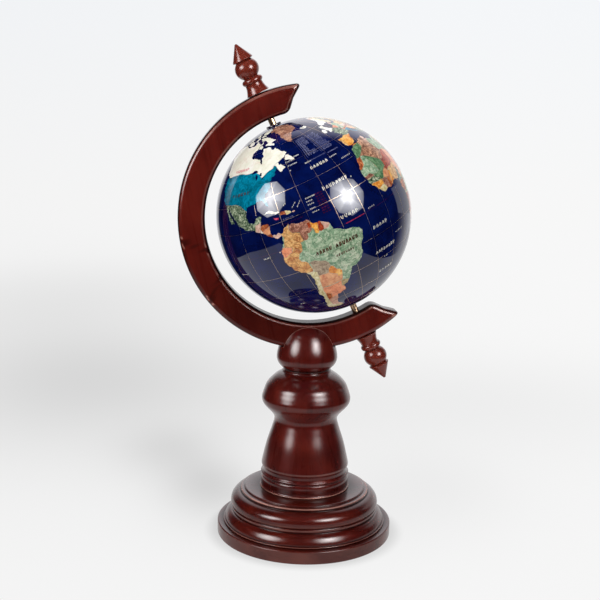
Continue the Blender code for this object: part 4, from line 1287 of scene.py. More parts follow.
# Countries, cut where they leave the land; a later one covers an earlier
COUNTRIES = outlines("""
rose: -141,69.9 -141,60.3 -134,58.5 -130,55 -136,54 -175,50 -175,73 -141,73
turquoise: -127,48.5 -100,48.5 -90,47.7 -87.6,47.2 -84.6,45.9 -82.9,44.8 -82.3,43.4 -81.5,42.6 -79,43.4
  -76.5,44.6 -74.5,45.2 -71.3,45.6 -70,47 -68.6,46.6 -67.6,44.4 -66,41 -60,36 -79,24 -84,23 -96.4,25.6
  -99,28 -101.5,30 -105,31.2 -111,31.6 -119,32.4 -128,34
moss: -119,32.5 -111,31.6 -105,31.2 -101.5,30 -99,28 -96.4,25.6 -94,23 -86,23 -85.8,18 -88.3,18.2
  -89.2,17.6 -91.6,17.4 -92,15.8 -93.2,13.6 -106,14 -119,22
rose: -93.2,13.6 -92.2,17.6 -89.2,17.9 -87.6,18.6 -88.4,15.8 -89.4,14.6 -89.8,12.6
rust: -89.4,14.6 -88.5,15.9 -88,18 -82.4,17 -83.3,14.9 -85.5,13.9 -87,12.6 -88.6,13.2
peach: -88.4,12.7 -85.6,14 -82.4,15 -82.5,11 -84.6,10.9 -86.6,10.4
rust: -87.4,10.9 -83.4,10.9 -82.2,9.7 -83,7 -87,9
rose: -83,9.6 -82,10.4 -77.2,10.2 -77.4,8.4 -78.4,6 -83,6.6
gold_jasper: -81.4,.6 -79,1.6 -77.2,6.5 -78.4,9.4 -76,13 -71,14 -72.3,11.8 -73,9.6 -71.8,7.4 -70,7 -68,6
  -67.8,3.2 -67.6,1 -69.8,.8 -69.6,-.6 -70.4,-3.8 -72.8,-2.4 -75.2,-.2 -77.5,.6
salmon: -83,1.6 -79.6,1.2 -77.5,.6 -75.3,-.2 -76.3,-2.6 -78.2,-3.2 -80.2,-4.4 -84,-3.8
honey: -84,-4 -80.3,-4.4 -78.3,-3.3 -76.3,-2.7 -75.2,-.2 -72.8,-2.4 -70.6,-3.9 -73,-5 -74.4,-7.3
  -73.8,-9.5 -71.6,-10.4 -70.6,-12 -70,-16 -70.6,-18 -73.4,-20 -86,-14
mauve_jasper: -73,9.4 -72.2,11.4 -72,14 -60,13 -59.4,8.6 -61.2,6.2 -60.8,5 -62.8,3.9 -64.2,4 -64.4,2
  -65.6,.9 -67.4,1.2 -67.7,3.2 -67.9,6.2 -70,7 -71.8,7.3
red_jasper: -62.6,9.4 -60.2,9.4 -60,7.4 -60.9,6.1 -62.6,6.3
amber: -60.6,9.4 -59.2,9 -56.9,7.6 -57.4,5 -57.6,3 -58.4,1.8 -60,2.4 -60,4.8 -61,6
red_jasper: -57,8 -55.2,7.4 -54.6,4.4 -55,2.6 -57,2.2 -57.7,3 -57.4,5.2
rose: -55.3,7.8 -52,6.8 -50.8,4.6 -52.4,2.6 -54.9,2.5 -54.5,4.5
taupe: -69.8,-11.8 -67,-11.6 -65.6,-12.4 -64,-13.4 -61.5,-14.2 -60.4,-16 -60,-18.6 -61.8,-19.6 -62.8,-22
  -64.5,-22.2 -66.5,-21.8 -68.8,-21.8 -69,-20 -69.8,-17.5 -69.6,-15
amber: -62.8,-22 -61.8,-19.6 -60,-18.6 -58.6,-19.4 -57.8,-21.6 -56,-22.6 -55,-24.4 -55.6,-27 -58.6,-27.4
  -58.4,-25.3 -60.4,-24.2
peach: -69,-21.8 -66.5,-21.8 -64.5,-22.2 -62.8,-22 -60.4,-24.2 -58.4,-25.3 -58.6,-27.4 -55.6,-27
  -56.6,-30 -57.6,-31 -72,-31 -70.6,-27
salmon: -57.6,-31 -58.4,-34 -56,-36 -55,-42 -64,-42.6 -73,-42.6 -72,-31
olive: -57.8,-30.6 -55.5,-31.2 -52.4,-32.6 -52,-36 -58.6,-35.6 -58.4,-33
sandstone: -64,-42 -73,-42 -74,-51 -68,-57 -60,-57 -60,-44
rust: -72.6,-38 -70.4,-36.4 -68.6,-38.6 -69.4,-42 -72.9,-43.8
cream: -70.4,-17.6 -68.6,-19 -69,-22 -70.2,-27 -71,-31 -71.6,-36 -72.6,-42 -73.4,-47 -73.6,-51.6
  -70.2,-52.6 -66.6,-53.6 -66,-54.2 -64,-55 -66,-58 -84,-56 -84,-36 -76,-17
rust: -21,20.8 -17,21 -13.6,22.6 -12.4,25.4 -11.6,27.6 -13,28.2 -20,28
aventurine: -16,27.8 -11.6,27.6 -8.7,28.8 -5,30.4 -2,32 -1.8,35 -3,36.2 -8,37 -18,32
jade: -21,20.9 -17,21 -13.6,22.6 -12.4,25.4 -11.6,27.6 -8.7,27.3 -5,25 -6.5,21 -5.5,15.5 -9,15
  -12.2,15.4 -14,17 -17.6,16.6 -21,16.8
aventurine: -8.7,27.3 -5,25 1,21 2.6,19 2.2,15.5 .2,15 -3,13.8 -5.5,10.9 -8,10.4 -9,12.3 -11.4,12.6
  -12.2,15.4 -9,15 -5.5,15.5 -6.5,21 -8,24
picture_jasper: -11.6,27.6 -8.7,28.8 -5,30.4 -2,32 -1.8,35 -1,38 8.6,38 7.6,33.5 9.8,29 10,26.5 12,23.5
  5.8,19.4 2.6,19 1,21 -5,25 -8.7,27.3
mauve_jasper: -20,17 -17.6,16.6 -14,17 -12.2,15.4 -12.4,14.6 -20,14.6
moss: -20,14.7 -12.4,14.7 -11.4,12.6 -9,12.3 -8.6,10.8 -12,10.9 -20,11.4
amber: -19,11.4 -12,10.9 -8.4,10.9 -8,8 -10,7.8 -14,6.8 -18,8
cream: -17,7.6 -14,6.9 -10,7.9 -8.4,7.4 -7.4,5.8 -7.5,3 -14,3
mauve_jasper: -8.4,7.4 -8,10.4 -5.5,10.4 -3.6,9.6 -3.8,5 -4,3 -7.5,3 -7.4,5.8
rust: -4,3 -3.8,5 -3.6,9.4 -1.2,9.6 -.6,6 -.6,3
peach: -5.5,10.6 -3,13.8 .2,15 1.8,12.5 .8,10 -.6,3 -.6,6 -1.2,9.6 -3.6,9.6
amber: -.8,3 -.7,6 .8,10.2 2,12.5 3.5,11.5 2.6,6.2 2,3
red_jasper: 2.2,15.2 2.6,19 5.8,19.4 12,23.5 15.5,23 15,16 13.5,14 9,13 4,13.5 1.8,12.4 .2,15
gold_jasper: 2.4,3 2.6,6.2 3.5,11.6 4,13.5 9,13 13.5,13.8 13.5,11 11,7 8.6,4.4 6,3
rose: 7.6,33.5 8.6,38 12,38 12,33 10.2,32 9.6,30.5
jade: 9.8,29 9.6,30.5 10.2,32 11.6,33.4 20,34 25,33 25,20 24,19.5 15.5,23 12,23.5 10,26.5
gold_jasper: 25,33 33,33 34.4,30 34,27 36.5,22 25,22
salmon: 15,16 15.5,23 24,19.5 24,15.5 22,12.5 22.5,11 19,9 15.5,7.6 14,12 13.5,14
mauve_jasper: 24,15.5 24,19.5 25,20 25,22 37,22 39,17.5 36.5,14.5 34,10 34,8 31,9.8 24,8.8 22.5,11
  22,12.5
taupe: 36.5,14.5 39,18 43,13 41.8,11 48,8 45,5 42,4.2 39,3.6 36,4.5 33,8 34,10
turquoise: 41.8,11 43.2,11.6 52,13 52,7 46,0 41,-2 41,3 45,5 48,8
aventurine: 24,8.8 31,9.8 34,8 36,4.5 34,4 31,3.6 27.5,5 24,5.4
peach: 15.5,7.6 19,9 22.5,11 24,8.8 24,5.4 18.6,4 16,3.5 14.5,6
moss: 8.6,4.4 11,7 13.5,11 14,12 15.5,7.6 14.5,6 16,2.2 9.6,2.2 8,3
rust: 8,2.2 16,2.2 18.6,4 18,.5 16,-4 12.5,-4.8 11,-5 7,-1
jade: 18.6,4 24,5.4 27.5,5 31,3.6 29.6,-1.5 29.4,-6 30.5,-8.4 28.6,-12.6 24,-11 21.8,-7.2 12.6,-6
  12.5,-4.8 16,-4 18,.5
cream: 31,3.6 34,4 35,.8 34,-1 29.6,-1.5
salmon: 34,4 36,4.5 39,3.6 41,4 41,-2 39.2,-4.8 34,-1 35,.8
amber: 29.6,-1.5 34,-1 39.2,-4.8 41,-10.4 35,-11.6 33,-9.4 30.5,-8.4 29.4,-6
red_jasper: 10,-6 16.6,-6 21.8,-7.2 24,-11 22,-13 22,-17.8 11,-17.4
picture_jasper: 24,-11 28.6,-12.6 30.5,-8.4 33,-9.4 33,-14 30,-15.8 27,-18 22,-17.8 22,-13
turquoise: 33,-9.4 35,-11.6 42,-10.4 42,-16 36,-20 36,-26 32.8,-27 31.5,-22.5 32.8,-19 30,-15.8 33,-14
gold_jasper: 27,-18 30,-15.8 32.8,-19 31.5,-22.3 29,-22.2
rose: 11,-17.4 22,-17.8 20,-22 20,-28.5 16,-28.8 10,-20
olive: 20,-22 21,-18 25,-18 27,-18 29,-22.2 25,-25.8 20,-26.8
aventurine: 15,-28.8 20,-28.5 20,-26.8 25,-25.8 29,-22.2 31.5,-22.3 33,-27 33,-36 15,-36
amber: -14,35 -14,45 -4,43.6 -1.8,43.2 .6,42.6 4,42.6 4,39 -1,35.5
gold_jasper: -14,36 -14,42 -10.6,42 -10.4,39 -11,36
moss: -9,49 -3.8,43.5 -1.8,43.2 .6,42.6 4,42.4 7.5,43.6 7,46 6,47.5 8.2,49 4,50 1,52
salmon: 1,52 4,50 6.2,49.6 7,51.8 6,54
jade: 6,54 7,51.8 6.2,49.6 8.2,49 7.6,47.6 13,47.5 12.2,50.4 15,51 14.4,54.6 9,55
rust: 6,47.5 7.6,47.6 13,47.5 17,48 16,46.6 10.5,46.4 7,46
turquoise: 7.5,43.6 7,46 10.5,46.4 13.8,46 14,45 19,40.5 16,37 8,42
gold_jasper: 14.4,54.6 15,51 18.5,49.4 22.6,49.2 24,52 23,54.4 19,55
rose: 12.2,50.4 15,51 18.5,49.4 22.6,49.2 22,48 17,48 13,47.5
mauve_jasper: 16,46.6 17,48 22,48 26.5,48.2 28,45.5 30,45.3 28.8,43.7 22.6,44.3 20,46.2
peach: 13.8,46 16,46.6 20,46.2 22.6,44.3 23,41.2 20,42 19,41.8 14,45
aventurine: 19,41.8 20,42 23,41.2 28.6,41.8 28.8,43.7 22.6,44.3 23,41 27,41.4 26,35 19,36
olive: 23,54.4 24,52 22.6,49.2 22,48 26.5,48.2 30,45.3 34,44 39.5,47 40,49.6 31,52 31,56 28,56 28,60
  21,60 20,55.5
cream: 26,41 36,42.5 41.5,41.6 44.6,39.6 44.6,37 36,36.7 26,36
white_stone: -6,56 -4,62 12,67 20,69.2 26,71.8 32,70.2 29,69.4 24,68.6 20,69 15,66 12.4,63 12,60 11,58.6
  8,57.2
cream: 11,58.6 12,60 12.4,63 15,66 20,69 24,65.8 17,61 20,58 14,54.8 11,55.6
jade: 24,65.8 24,68.6 29,69.4 31.5,62.8 28,60.2 20,60 20,63
gold_jasper: 28,60.2 31.5,62.8 29,69.4 32,70.2 40,78 110,80 192,72 192,63 165,48 146,42 131,42.4
  135,48.4 127.5,50 121,53.3 116.8,49.8 108,49.4 98,50.4 87.5,49.2 80,50.8 76,54.2 71,54.4 61,54 60.8,51
  55,51 48.6,50.2 47,47.6 48.6,46 46.6,43.4 41.5,41.9 37,43 36,46.6 39.5,47 40,49.6 31,52 31,56 28,56
jade: 48.6,46 47,47.6 48.6,50.2 55,51 60.8,51 61,54 71,54.4 76,54.2 80,50.8 87.5,49.2 85,47 82.4,45.2
  80,42.2 70,42.2 61,43.8 56,45 56,41.2 52.4,42 51,45
moss: 87.5,49.2 98,50.4 108,49.4 116.8,49.8 119.8,47 111,44 105,41.8 96.4,42.7 91,45.2
amber: 80,42.2 82.4,45.2 85,47 87.5,49.2 91,45.2 96.4,42.7 105,41.8 111,44 119.8,47 116.8,49.8 121,53.3
  127.5,50 135,48.4 131,42.4 128,42 124,40 125,36 124,28 121,22 110,17 108,21.5 102,22 98.5,24 97.5,28.2
  92,27.6 85,28.2 79,31.4 78,35.4 74,39.4
red_jasper: 124,40 128,42 131,42.4 130.6,38.4 124,38
turquoise: 124,38 130.6,38.4 131,34 125,33.6
picture_jasper: 56,41.2 56,45 61,43.8 70,42.2 80,42.2 74,39.4 73,36.8 67.6,37.2 61,36.6 53,38
taupe: 44.6,37 44.6,39.6 48.6,38.4 53.6,37.4 61,36.6 61,31.4 61.6,25 57,24.6 51,27 48,30 46,33.4
mauve_jasper: 61,36.6 67.6,37.2 73,36.8 70,33.6 66.4,29.8 61,29.8 61,31.4
aventurine: 61.6,24.6 61,29.8 66.4,29.8 70,33.6 73,36.8 78,35.4 74.4,31 70,28 71,24.2 68,23 64,24
salmon: 68,23 71,24.2 70,28 74.4,31 78,35.4 79,31.4 85,28.2 88,27.6 92,27.6 97.5,28.2 94,24 92,22
  88.6,21 84,14 78,6 70,18
gold_jasper: 79,31.4 81,30 88,27.8 88,26.4 82,27.4 80,29
rose: 35.8,36.8 44.6,37 46,33.4 48,30 44.6,29.2 39,32 35,31 33.6,34
cream: 34,28.6 35,31 39,32 44.6,29.2 48,29.4 52,25 56.5,24.6 60.6,23 56,16.4 43.6,12 33,24
rust: 42,16.4 47,17 52,19 55.6,20 61,23 60,17 44,11 41,13
jade: 92,22 94,24 97.5,28.2 98.5,24 101,21.4 97.6,18.6 98.6,10 96,9 91,20
peach: 97.6,18.6 101,20 104.6,17.6 105,14.2 102.6,13.6 102,7 97,8 98.6,12
turquoise: 101,21.4 102,22 108,21.6 110,12 104,7 104,10.4 107.4,12.4 107,16 104.6,18
gold_jasper: 104.6,17.6 107,16 107.4,12.4 104,10.4 102.6,13.6 105,14.2
salmon: 99,7 103,6.4 105,1 103,.6 98,5
peach: 129,-14 129,-36 110,-38 110,-18 122,-14
gold_jasper: 129,-10 138,-10 138,-26 129,-26
salmon: 129,-26 141,-26 141,-40 129,-34
turquoise: 138,-10 138,-26 141,-26 141,-29 155,-28.4 155,-8
olive: 141,-29 155,-28.4 154,-37.6 149.6,-37.4 144,-36 141,-34
jade: 141,-34 144,-36 149.6,-37.4 150,-40 141,-40
moss: 141,-1 141,-10 152,-12 152,-1
""")


def cut_line(points, draw, roughness, closed=True):
    """A cut line: its sides are halved again and again, each middle pushed a little aside."""
    def halved(a, b):
        scale = math.cos(math.radians(0.5 * (a[1] + b[1])))
        across, along = (b[0] - a[0]) * scale, b[1] - a[1]
        length = math.hypot(across, along)
        if length < CUT_STEP:
            return [a]
        push = draw.uniform(-roughness, roughness)
        middle = (0.5 * (a[0] + b[0]) - along * push / scale,
                  0.5 * (a[1] + b[1]) + across * push)
        return halved(a, middle) + halved(middle, b)

    ends = points[1:] + (points[:1] if closed else [])
    made = [point for a, b in zip(points, ends) for point in halved(a, b)]
    return made if closed else made + [points[-1]]


def on_ball(places, radius=GLOBE_RADIUS):
    """Points on the ball, from its centre, for rows of longitude and latitude in degrees."""
    east, north = np.radians(np.asarray(places, float)).T
    local = np.stack((np.cos(north) * np.cos(east), np.cos(north) * np.sin(east),
                      np.sin(north)), 1)
    return local @ MAP * radius


def places_of(points):
    """Longitude and latitude in degrees of points on the unit ball."""
    local = points @ MAP.T
    return np.degrees(np.stack((np.arctan2(local[:, 1], local[:, 0]),
                                np.arcsin(np.clip(local[:, 2], -1, 1))), 1))


def inside(line, places):
    """Which places lie inside a closed line; longitudes may run past 180."""
    start = np.array(line)
    end = np.roll(start, -1, axis=0)
    found = np.zeros(len(places), bool)
    for turn in (-360, 0, 360):
        shifted = places + (turn, 0)
        near = np.flatnonzero(np.all((shifted >= start.min(0)) & (shifted <= start.max(0)), 1))
        for part in np.array_split(near, max(1, len(near) // 2000)):
            east, north = shifted[part, 0][:, None], shifted[part, 1][:, None]
            spans = (start[:, 1] > north) != (end[:, 1] > north)
            with np.errstate(divide="ignore", invalid="ignore"):
                meet = ((end[:, 0] - start[:, 0]) * (north - start[:, 1])
                        / (end[:, 1] - start[:, 1]) + start[:, 0])
            found[part] |= (np.sum(spans & (east < meet), axis=1) % 2).astype(bool)
    return found


def cut_lines():
    """All cut lines of the map: lands, the edge of the southern ice, lakes and countries."""
    draw = random.Random(MAP_SEED)
    lands = [cut_line(points, draw, LAND_ROUGHNESS) for finish, points in LANDS]
    ice = cut_line(ICE[1], draw, ICE_ROUGHNESS, closed=False)
    lakes = [cut_line(points, draw, LAKE_ROUGHNESS) for finish, points in LAKES]
    countries = [cut_line(points, draw, COUNTRY_ROUGHNESS) for finish, points in COUNTRIES]
    return lands, ice, lakes, countries


def cut_network(closed_lines, ice, pin_axes):
    """Points and edges of the cut lines and the pin holes on a unit ball, poles on the pins."""
    points, edges = [], []
    for line, closed in [(line, True) for line in closed_lines] + [(ice, False)]:
        first = len(points)
        points += list(on_ball(line, 1.0) @ pin_axes.T)
        edges += [(first + i, first + i + 1) for i in range(len(line) - 1)]
        if closed:
            edges.append((first + len(line) - 1, first))
    for height in (1, -1):
        first = len(points)
        for i in range(BORE_SIDES):
            angle = 2 * math.pi * i / BORE_SIDES
            points.append(np.array((math.sin(BORE_ANGLE) * math.cos(angle),
                                    math.sin(BORE_ANGLE) * math.sin(angle),
                                    height * math.cos(BORE_ANGLE))))
            edges.append((first + i, first + (i + 1) % BORE_SIDES))
    return np.array(points), edges


def filling(cuts):
    """Points spread evenly over the unit ball, clear of the cut lines and the pin holes."""
    tree = kdtree.KDTree(len(cuts))
    for i, point in enumerate(cuts):
        tree.insert(point, i)
    tree.balance()
    count = np.arange(SKIN_POINTS) + 0.5
    height = 1 - 2 * count / SKIN_POINTS
    angle = count * math.pi * (3 - math.sqrt(5))
    spread = np.sqrt(1 - height ** 2)
    fill = np.stack((spread * np.cos(angle), spread * np.sin(angle), height), 1)
    clear = SKIN_CLEARANCE / GLOBE_RADIUS
    limit = math.cos(BORE_ANGLE) - 0.00002
    return np.array([point for point in fill
                     if abs(point[2]) < limit and tree.find(point)[2] > clear])


def triangulated(points, edges):
    """Joins points on a unit ball into triangles that keep to the edges; leaves the holes."""
    flat = points[:, :2] / (1 + points[:, 2:])
    result = delaunay_2d_cdt([Vector(point) for point in flat], edges, [], 0, 1e-8)
    flat = np.array([tuple(point) for point in result[0]])
    triangles = np.array([face for face in result[2] if len(face) == 3])
    square = np.sum(flat ** 2, axis=1)[:, None]
    solid = np.concatenate((2 * flat, 1 - square), 1) / (1 + square)
    middles = solid[triangles].mean(1)
    middles /= np.linalg.norm(middles, axis=1)[:, None]
    kept = np.abs(middles[:, 2]) < math.cos(BORE_ANGLE) - 1e-6
    return solid, triangles[kept], middles[kept]


def skin_mesh():
    """Cuts the ball's surface along every coast and border, with a hole for each pin.

    Returns the points from the ball's centre, the triangles and the number of the outline
    that each triangle belongs to: lands, then the ice, then countries, or -1 for the sea.
    """
    lands, ice, lakes, countries = cut_lines()
    side = POLE.cross(Vector((0, 1, 0))).normalized()
    pin_axes = np.array((side, POLE.cross(side), POLE))
    cuts, edges = cut_network(lands + lakes + countries, ice, pin_axes)
    solid, triangles, middles = triangulated(np.concatenate((cuts, filling(cuts))), edges)
    places = places_of(middles @ pin_axes)
    owner = np.full(len(triangles), -1)
    for number, line in enumerate(lands):
        owner[inside(line, places)] = number
    owner[inside(ice + [(180, -90.5), (-180, -90.5)], places)] = len(lands)
    on_land = owner >= 0
    for number, line in enumerate(countries):
        owner[inside(line, places) & on_land] = len(lands) + 1 + number
    for line in lakes:
        owner[inside(line, places)] = -1
    return solid @ pin_axes * GLOBE_RADIUS, triangles, owner


def facing_out(verts, faces):
    """The faces, turned over where the first one looks inwards."""
    first = np.array(verts)[list(faces[0])]
    if np.dot(np.cross(first[1] - first[0], first[2] - first[0]), first[0]) < 0:
        return [face[::-1] for face in faces]
    return faces


def add_bores(verts, faces):
    """Adds a blind bore to every hole in the skin."""
    edges = {(a, b) for face in faces for a, b in zip(face, face[1:] + face[:1])}
    rims = {a: b for face in faces for a, b in zip(face, face[1:] + face[:1])
            if (b, a) not in edges}
    while rims:
        start, after = rims.popitem()
        loop = [start, after]
        while loop[-1] in rims:
            loop.append(rims.pop(loop[-1]))
        if loop[0] == loop[-1]:
            loop.pop()
        out = POLE if Vector(verts[start]).dot(POLE) > 0 else -POLE
        first = len(verts)
        for corner in loop:
            point = Vector(verts[corner])
            verts.append(tuple(point - out * (point.dot(out) - GLOBE_RADIUS + BORE_DEPTH)))
        total = len(loop)
        for i in range(total):
            j = (i + 1) % total
            faces.append((loop[j], loop[i], first + i, first + j))
        faces.append(tuple(first + i for i in range(total)))


def make_ball(solid, triangles, owner):
    """The closed ball: the cut skin, and a blind bore for each pin."""
    names = [finish for finish, points in LANDS + [ICE] + COUNTRIES]
    used = ["lapis"] + sorted(set(names))
    numbers = np.array([used.index(name) for name in names] + [0])
    verts = [tuple(point) for point in solid]
    faces = facing_out(verts, [tuple(map(int, face)) for face in triangles])
    skin_count = len(faces)
    add_bores(verts, faces)
    mesh = bpy.data.meshes.new("inlaid_ball")
    mesh.from_pydata(verts, [], faces)
    for name in used:
        mesh.materials.append(FINISH[name])
    index = np.zeros(len(faces), int)
    index[:skin_count] = numbers[owner]
    mesh.polygons.foreach_set("material_index", index)
    mesh.update()
    shine_like_ball(mesh, lambda face: face.index < skin_count)
    ball = place(piece_from("inlaid_ball", mesh), Matrix.Translation(GLOBE_CENTRE))
    settle(ball, "globe", "lapis", "globe")


def shine_like_ball(mesh, lies_on_ball):
    """Gives the chosen faces the ball's own normals, so that they shine as one surface."""
    mesh.polygons.foreach_set("use_smooth", np.ones(len(mesh.polygons), bool))
    normals = []
    for face in mesh.polygons:
        chosen = lies_on_ball(face)
        for corner in face.vertices:
            normals.append(mesh.vertices[corner].co.normalized() if chosen else face.normal)
    mesh.normals_split_custom_set(normals)


# ------------------------------ wires and strokes

WIRE_PROUD = 0.006 * MM
WIRE_DEPTH = 0.03 * MM
BORDER_WIDTH = 0.2 * MM
GRATICULE_WIDTH = 0.18 * MM
EQUATOR_WIDTH = 0.17 * MM
GRATICULE_STEP = 15                  # degrees between its lines
GRATICULE_END = 75                   # the last parallel, where the meridians stop too
PARALLEL_STEP = 1.5
MERIDIAN_POINTS = 101
STROKE_PROUD = 0.012 * MM
STROKE_DEPTH = 0.03 * MM
LIES_FLAT = 0.9                      # cosine between a face and the ball below it
STROKE_SEED = 7
DEGREE = GLOBE_RADIUS / MM * math.pi / 180      # millimetres of a degree on the ball


def wire_tree():
    """Lays a thin flat wire along mesh edges that lie on a ball round the origin."""
    tree, entry, leave = new_shape_tree("laid_wire", [("Width", "NodeSocketFloat", BORDER_WIDTH),
                                                      ("Depth", "NodeSocketFloat", WIRE_DEPTH)])
    line = node(tree, "GeometryNodeMeshToCurve", {"Mesh": entry.outputs["Geometry"]})
    position = node(tree, "GeometryNodeInputPosition")
    outward = vector_maths(tree, "NORMALIZE", position.outputs[0])
    facing = node(tree, "GeometryNodeSetCurveNormal",
                  {"Curve": line.outputs[0], "Normal": outward}, mode="FREE")
    section = node(tree, "GeometryNodeCurvePrimitiveQuadrilateral",
                   {"Width": entry.outputs["Depth"], "Height": entry.outputs["Width"]})
    swept = node(tree, "GeometryNodeCurveToMesh",
                 {"Curve": facing.outputs[0], "Profile Curve": section.outputs[0],
                  "Fill Caps": True})
    hand_out(tree, entry, leave, swept)
    return tree


def stroke_tree():
    """Sets a small slab on every point, turned and sized by the point's own attributes."""
    tree, entry, leave = new_shape_tree("set_strokes", [])
    dots = node(tree, "GeometryNodeMeshToPoints", {"Mesh": entry.outputs["Geometry"]})
    slab = node(tree, "GeometryNodeMeshCube", {"Size": (1, 1, 1)})
    out, along, size = [
        node(tree, "GeometryNodeInputNamedAttribute", {"Name": name},
             data_type="FLOAT_VECTOR").outputs[0] for name in ("out", "along", "size")]
    turn = node(tree, "FunctionNodeAxesToRotation",
                {"Primary Axis": out, "Secondary Axis": along})
    laid = node(tree, "GeometryNodeInstanceOnPoints",
                {"Points": dots.outputs[0], "Instance": slab.outputs[0],
                 "Rotation": turn.outputs[0], "Scale": size})
    hand_out(tree, entry, leave, laid)
    return tree


WIRE = wire_tree()
STROKES = stroke_tree()


def lay_on_ball(piece, tree, values, slot):
    """Runs marks through a tree, gives their outer faces the ball's shine and hands them over."""
    through(piece, tree, values)
    shine_like_ball(piece.data,
                    lambda face: face.normal.dot(face.center.normalized()) > LIES_FLAT)
    place(piece, Matrix.Translation(GLOBE_CENTRE))
    settle(piece, "globe", slot)


def lay_wire(name, verts, edges, width, finish):
    """Makes one piece of wire from points round the origin and the edges between them."""
    mesh = bpy.data.meshes.new(name)
    mesh.from_pydata(verts, edges, [])
    lay_on_ball(piece_from(name, mesh), WIRE,
                {"Width": width, "Depth": WIRE_DEPTH, "Finish": FINISH[finish]}, "gold_wire")


def border_wires(solid, triangles, owner):
    """Gold wire wherever two countries meet on land."""
    sides = {}
    for number, face in enumerate(triangles):
        if owner[number] < 0:
            continue
        for a, b in zip(face, np.roll(face, -1)):
            sides.setdefault((min(a, b), max(a, b)), []).append(owner[number])
    lines = [edge for edge, owners in sides.items()
             if len(owners) == 2 and owners[0] != owners[1]]
    numbers, verts, edges = {}, [], []
    for edge in lines:
        for corner in edge:
            if corner not in numbers:
                numbers[corner] = len(verts)
                verts.append(tuple(solid[corner] * (1 + WIRE_PROUD / GLOBE_RADIUS)))
        edges.append((numbers[edge[0]], numbers[edge[1]]))
    lay_wire("border_wires", verts, edges, BORDER_WIDTH, "gold")


def over_sea(places):
    """Which places of longitude and latitude lie on no land."""
    free = np.ones(len(places), bool)
    for finish, points in LANDS:
        free &= ~inside(points, places)
    return free


def lay_lines(name, lines, width, finish):
    """Wires over the sea along lines of places; each line comes with whether it is closed."""
    verts, edges = [], []
    for places, closed in lines:
        first = len(verts)
        places = np.array(places, float)
        verts.extend(map(tuple, on_ball(places, GLOBE_RADIUS + WIRE_PROUD)))
        free = over_sea(places)
        for i in range(len(places) - (0 if closed else 1)):
            after = (i + 1) % len(places)
            if free[i] and free[after]:
                edges.append((first + i, first + after))
    lay_wire(name, verts, edges, width, finish)


def meridian(east):
    """The places on a meridian, which is open."""
    norths = np.linspace(-GRATICULE_END, GRATICULE_END, MERIDIAN_POINTS)
    return [(east, north) for north in norths], False


def parallel(north):
    """The places on a parallel, which is closed."""
    return [(east, north) for east in np.arange(-180, 180, PARALLEL_STEP)], True


def graticule():
    """Gold meridians and parallels over the sea; the equator is a dark red line."""
    lines = [meridian(east) for east in range(-180, 180, GRATICULE_STEP)]
    lines += [parallel(north)
              for north in range(-GRATICULE_END, GRATICULE_END + 1, GRATICULE_STEP) if north]
    lay_lines("graticule", lines, GRATICULE_WIDTH, "gold")
    lay_lines("equator_line", [parallel(0)], EQUATOR_WIDTH, "maroon_stone")


# Rows of strokes: their finish, then for each row the first and last longitude, the first
# and last latitude, the height in degrees and the number of marks
STROKE_ROWS = (
    ("shell", ((-46.3, -32.1, 36, 36, 2.1, 6), (-30.4, -24.1, 36.5, 36.5, 0.9, 5),
               (-24, -15.6, 32.4, 32.4, 0.9, 7), (-46.1, -28.5, 22.4, 22.4, 2.1, 8),
               (-44.3, -32.6, 4, 4, 2.1, 5), (-28.8, -17.1, -9.9, -9.9, 2.1, 5),
               (-27.4, -22.2, 1.3, 1.3, 0.9, 4), (-12.2, -4, -20.2, -20.2, 0.9, 6),
               (-30.9, -13.8, -25, -25, 2.1, 8), (-28.9, -14.8, -39.8, -39.8, 1.9, 5),
               (-24.5, -21.1, -30.6, -30.6, 0.9, 3), (-57.7, -51.6, 21.5, 21.5, 0.82, 6),
               (-57.8, -53.9, 19.6, 19.6, 0.82, 4), (-57.8, -53.8, 17.8, 17.8, 0.82, 4),
               (-57.6, -54, 15.3, 15.3, 0.82, 4), (-57.1, -52.7, 13.2, 13.2, 0.82, 4),
               (-52.5, -47.8, 47.3, 47.3, 0.9, 5), (-60.5, -52.4, 45.8, 45.8, 0.9, 7),
               (-59.5, -52.1, 43, 43, 0.9, 6), (-47.6, -42.7, 40.1, 40.1, 0.9, 5),
               (-66.7, -63.4, 20, 22.4, 0.82, 3), (-63.8, -60.2, 19.3, 22.4, 0.82, 3),
               (-71, -69.2, 22.8, 23.8, 0.82, 2), (-94.7, -89.5, -1.7, -1.7, 0.9, 5),
               (-121, -113, -9, -9, 0.98, 6), (-95, -90.6, -39.2, -39.2, 0.98, 4))),
    ("smoke", ((-43.2, -30.1, 40.3, 40.3, 0.74, 16), (-28.8, -18.8, 39.5, 39.5, 0.74, 12))),
    ("coral_stone", ((-112.8, -94, 51.2, 51.2, 2.0, 8),)),
    ("umber_stone", ((-110.4, -91.9, 36.6, 36.6, 2.1, 6), (-64.5, -54.9, -8.5, -8.5, 2.5, 5),
                     (-52.9, -38.9, -8.9, -8.9, 2.7, 7), (-54.8, -43.2, -14.4, -14.4, 1.7, 8))),
    ("maroon_stone", ((-76, -62, 13.3, 13.3, 0.8, 12),)),
    ("smoke", ((-74, -67.5, 15.8, 15.8, 0.8, 6),)),
)
DOTS = ((-59.3, 39.9), (-26.8, 21.1), (-82.8, -0.5))
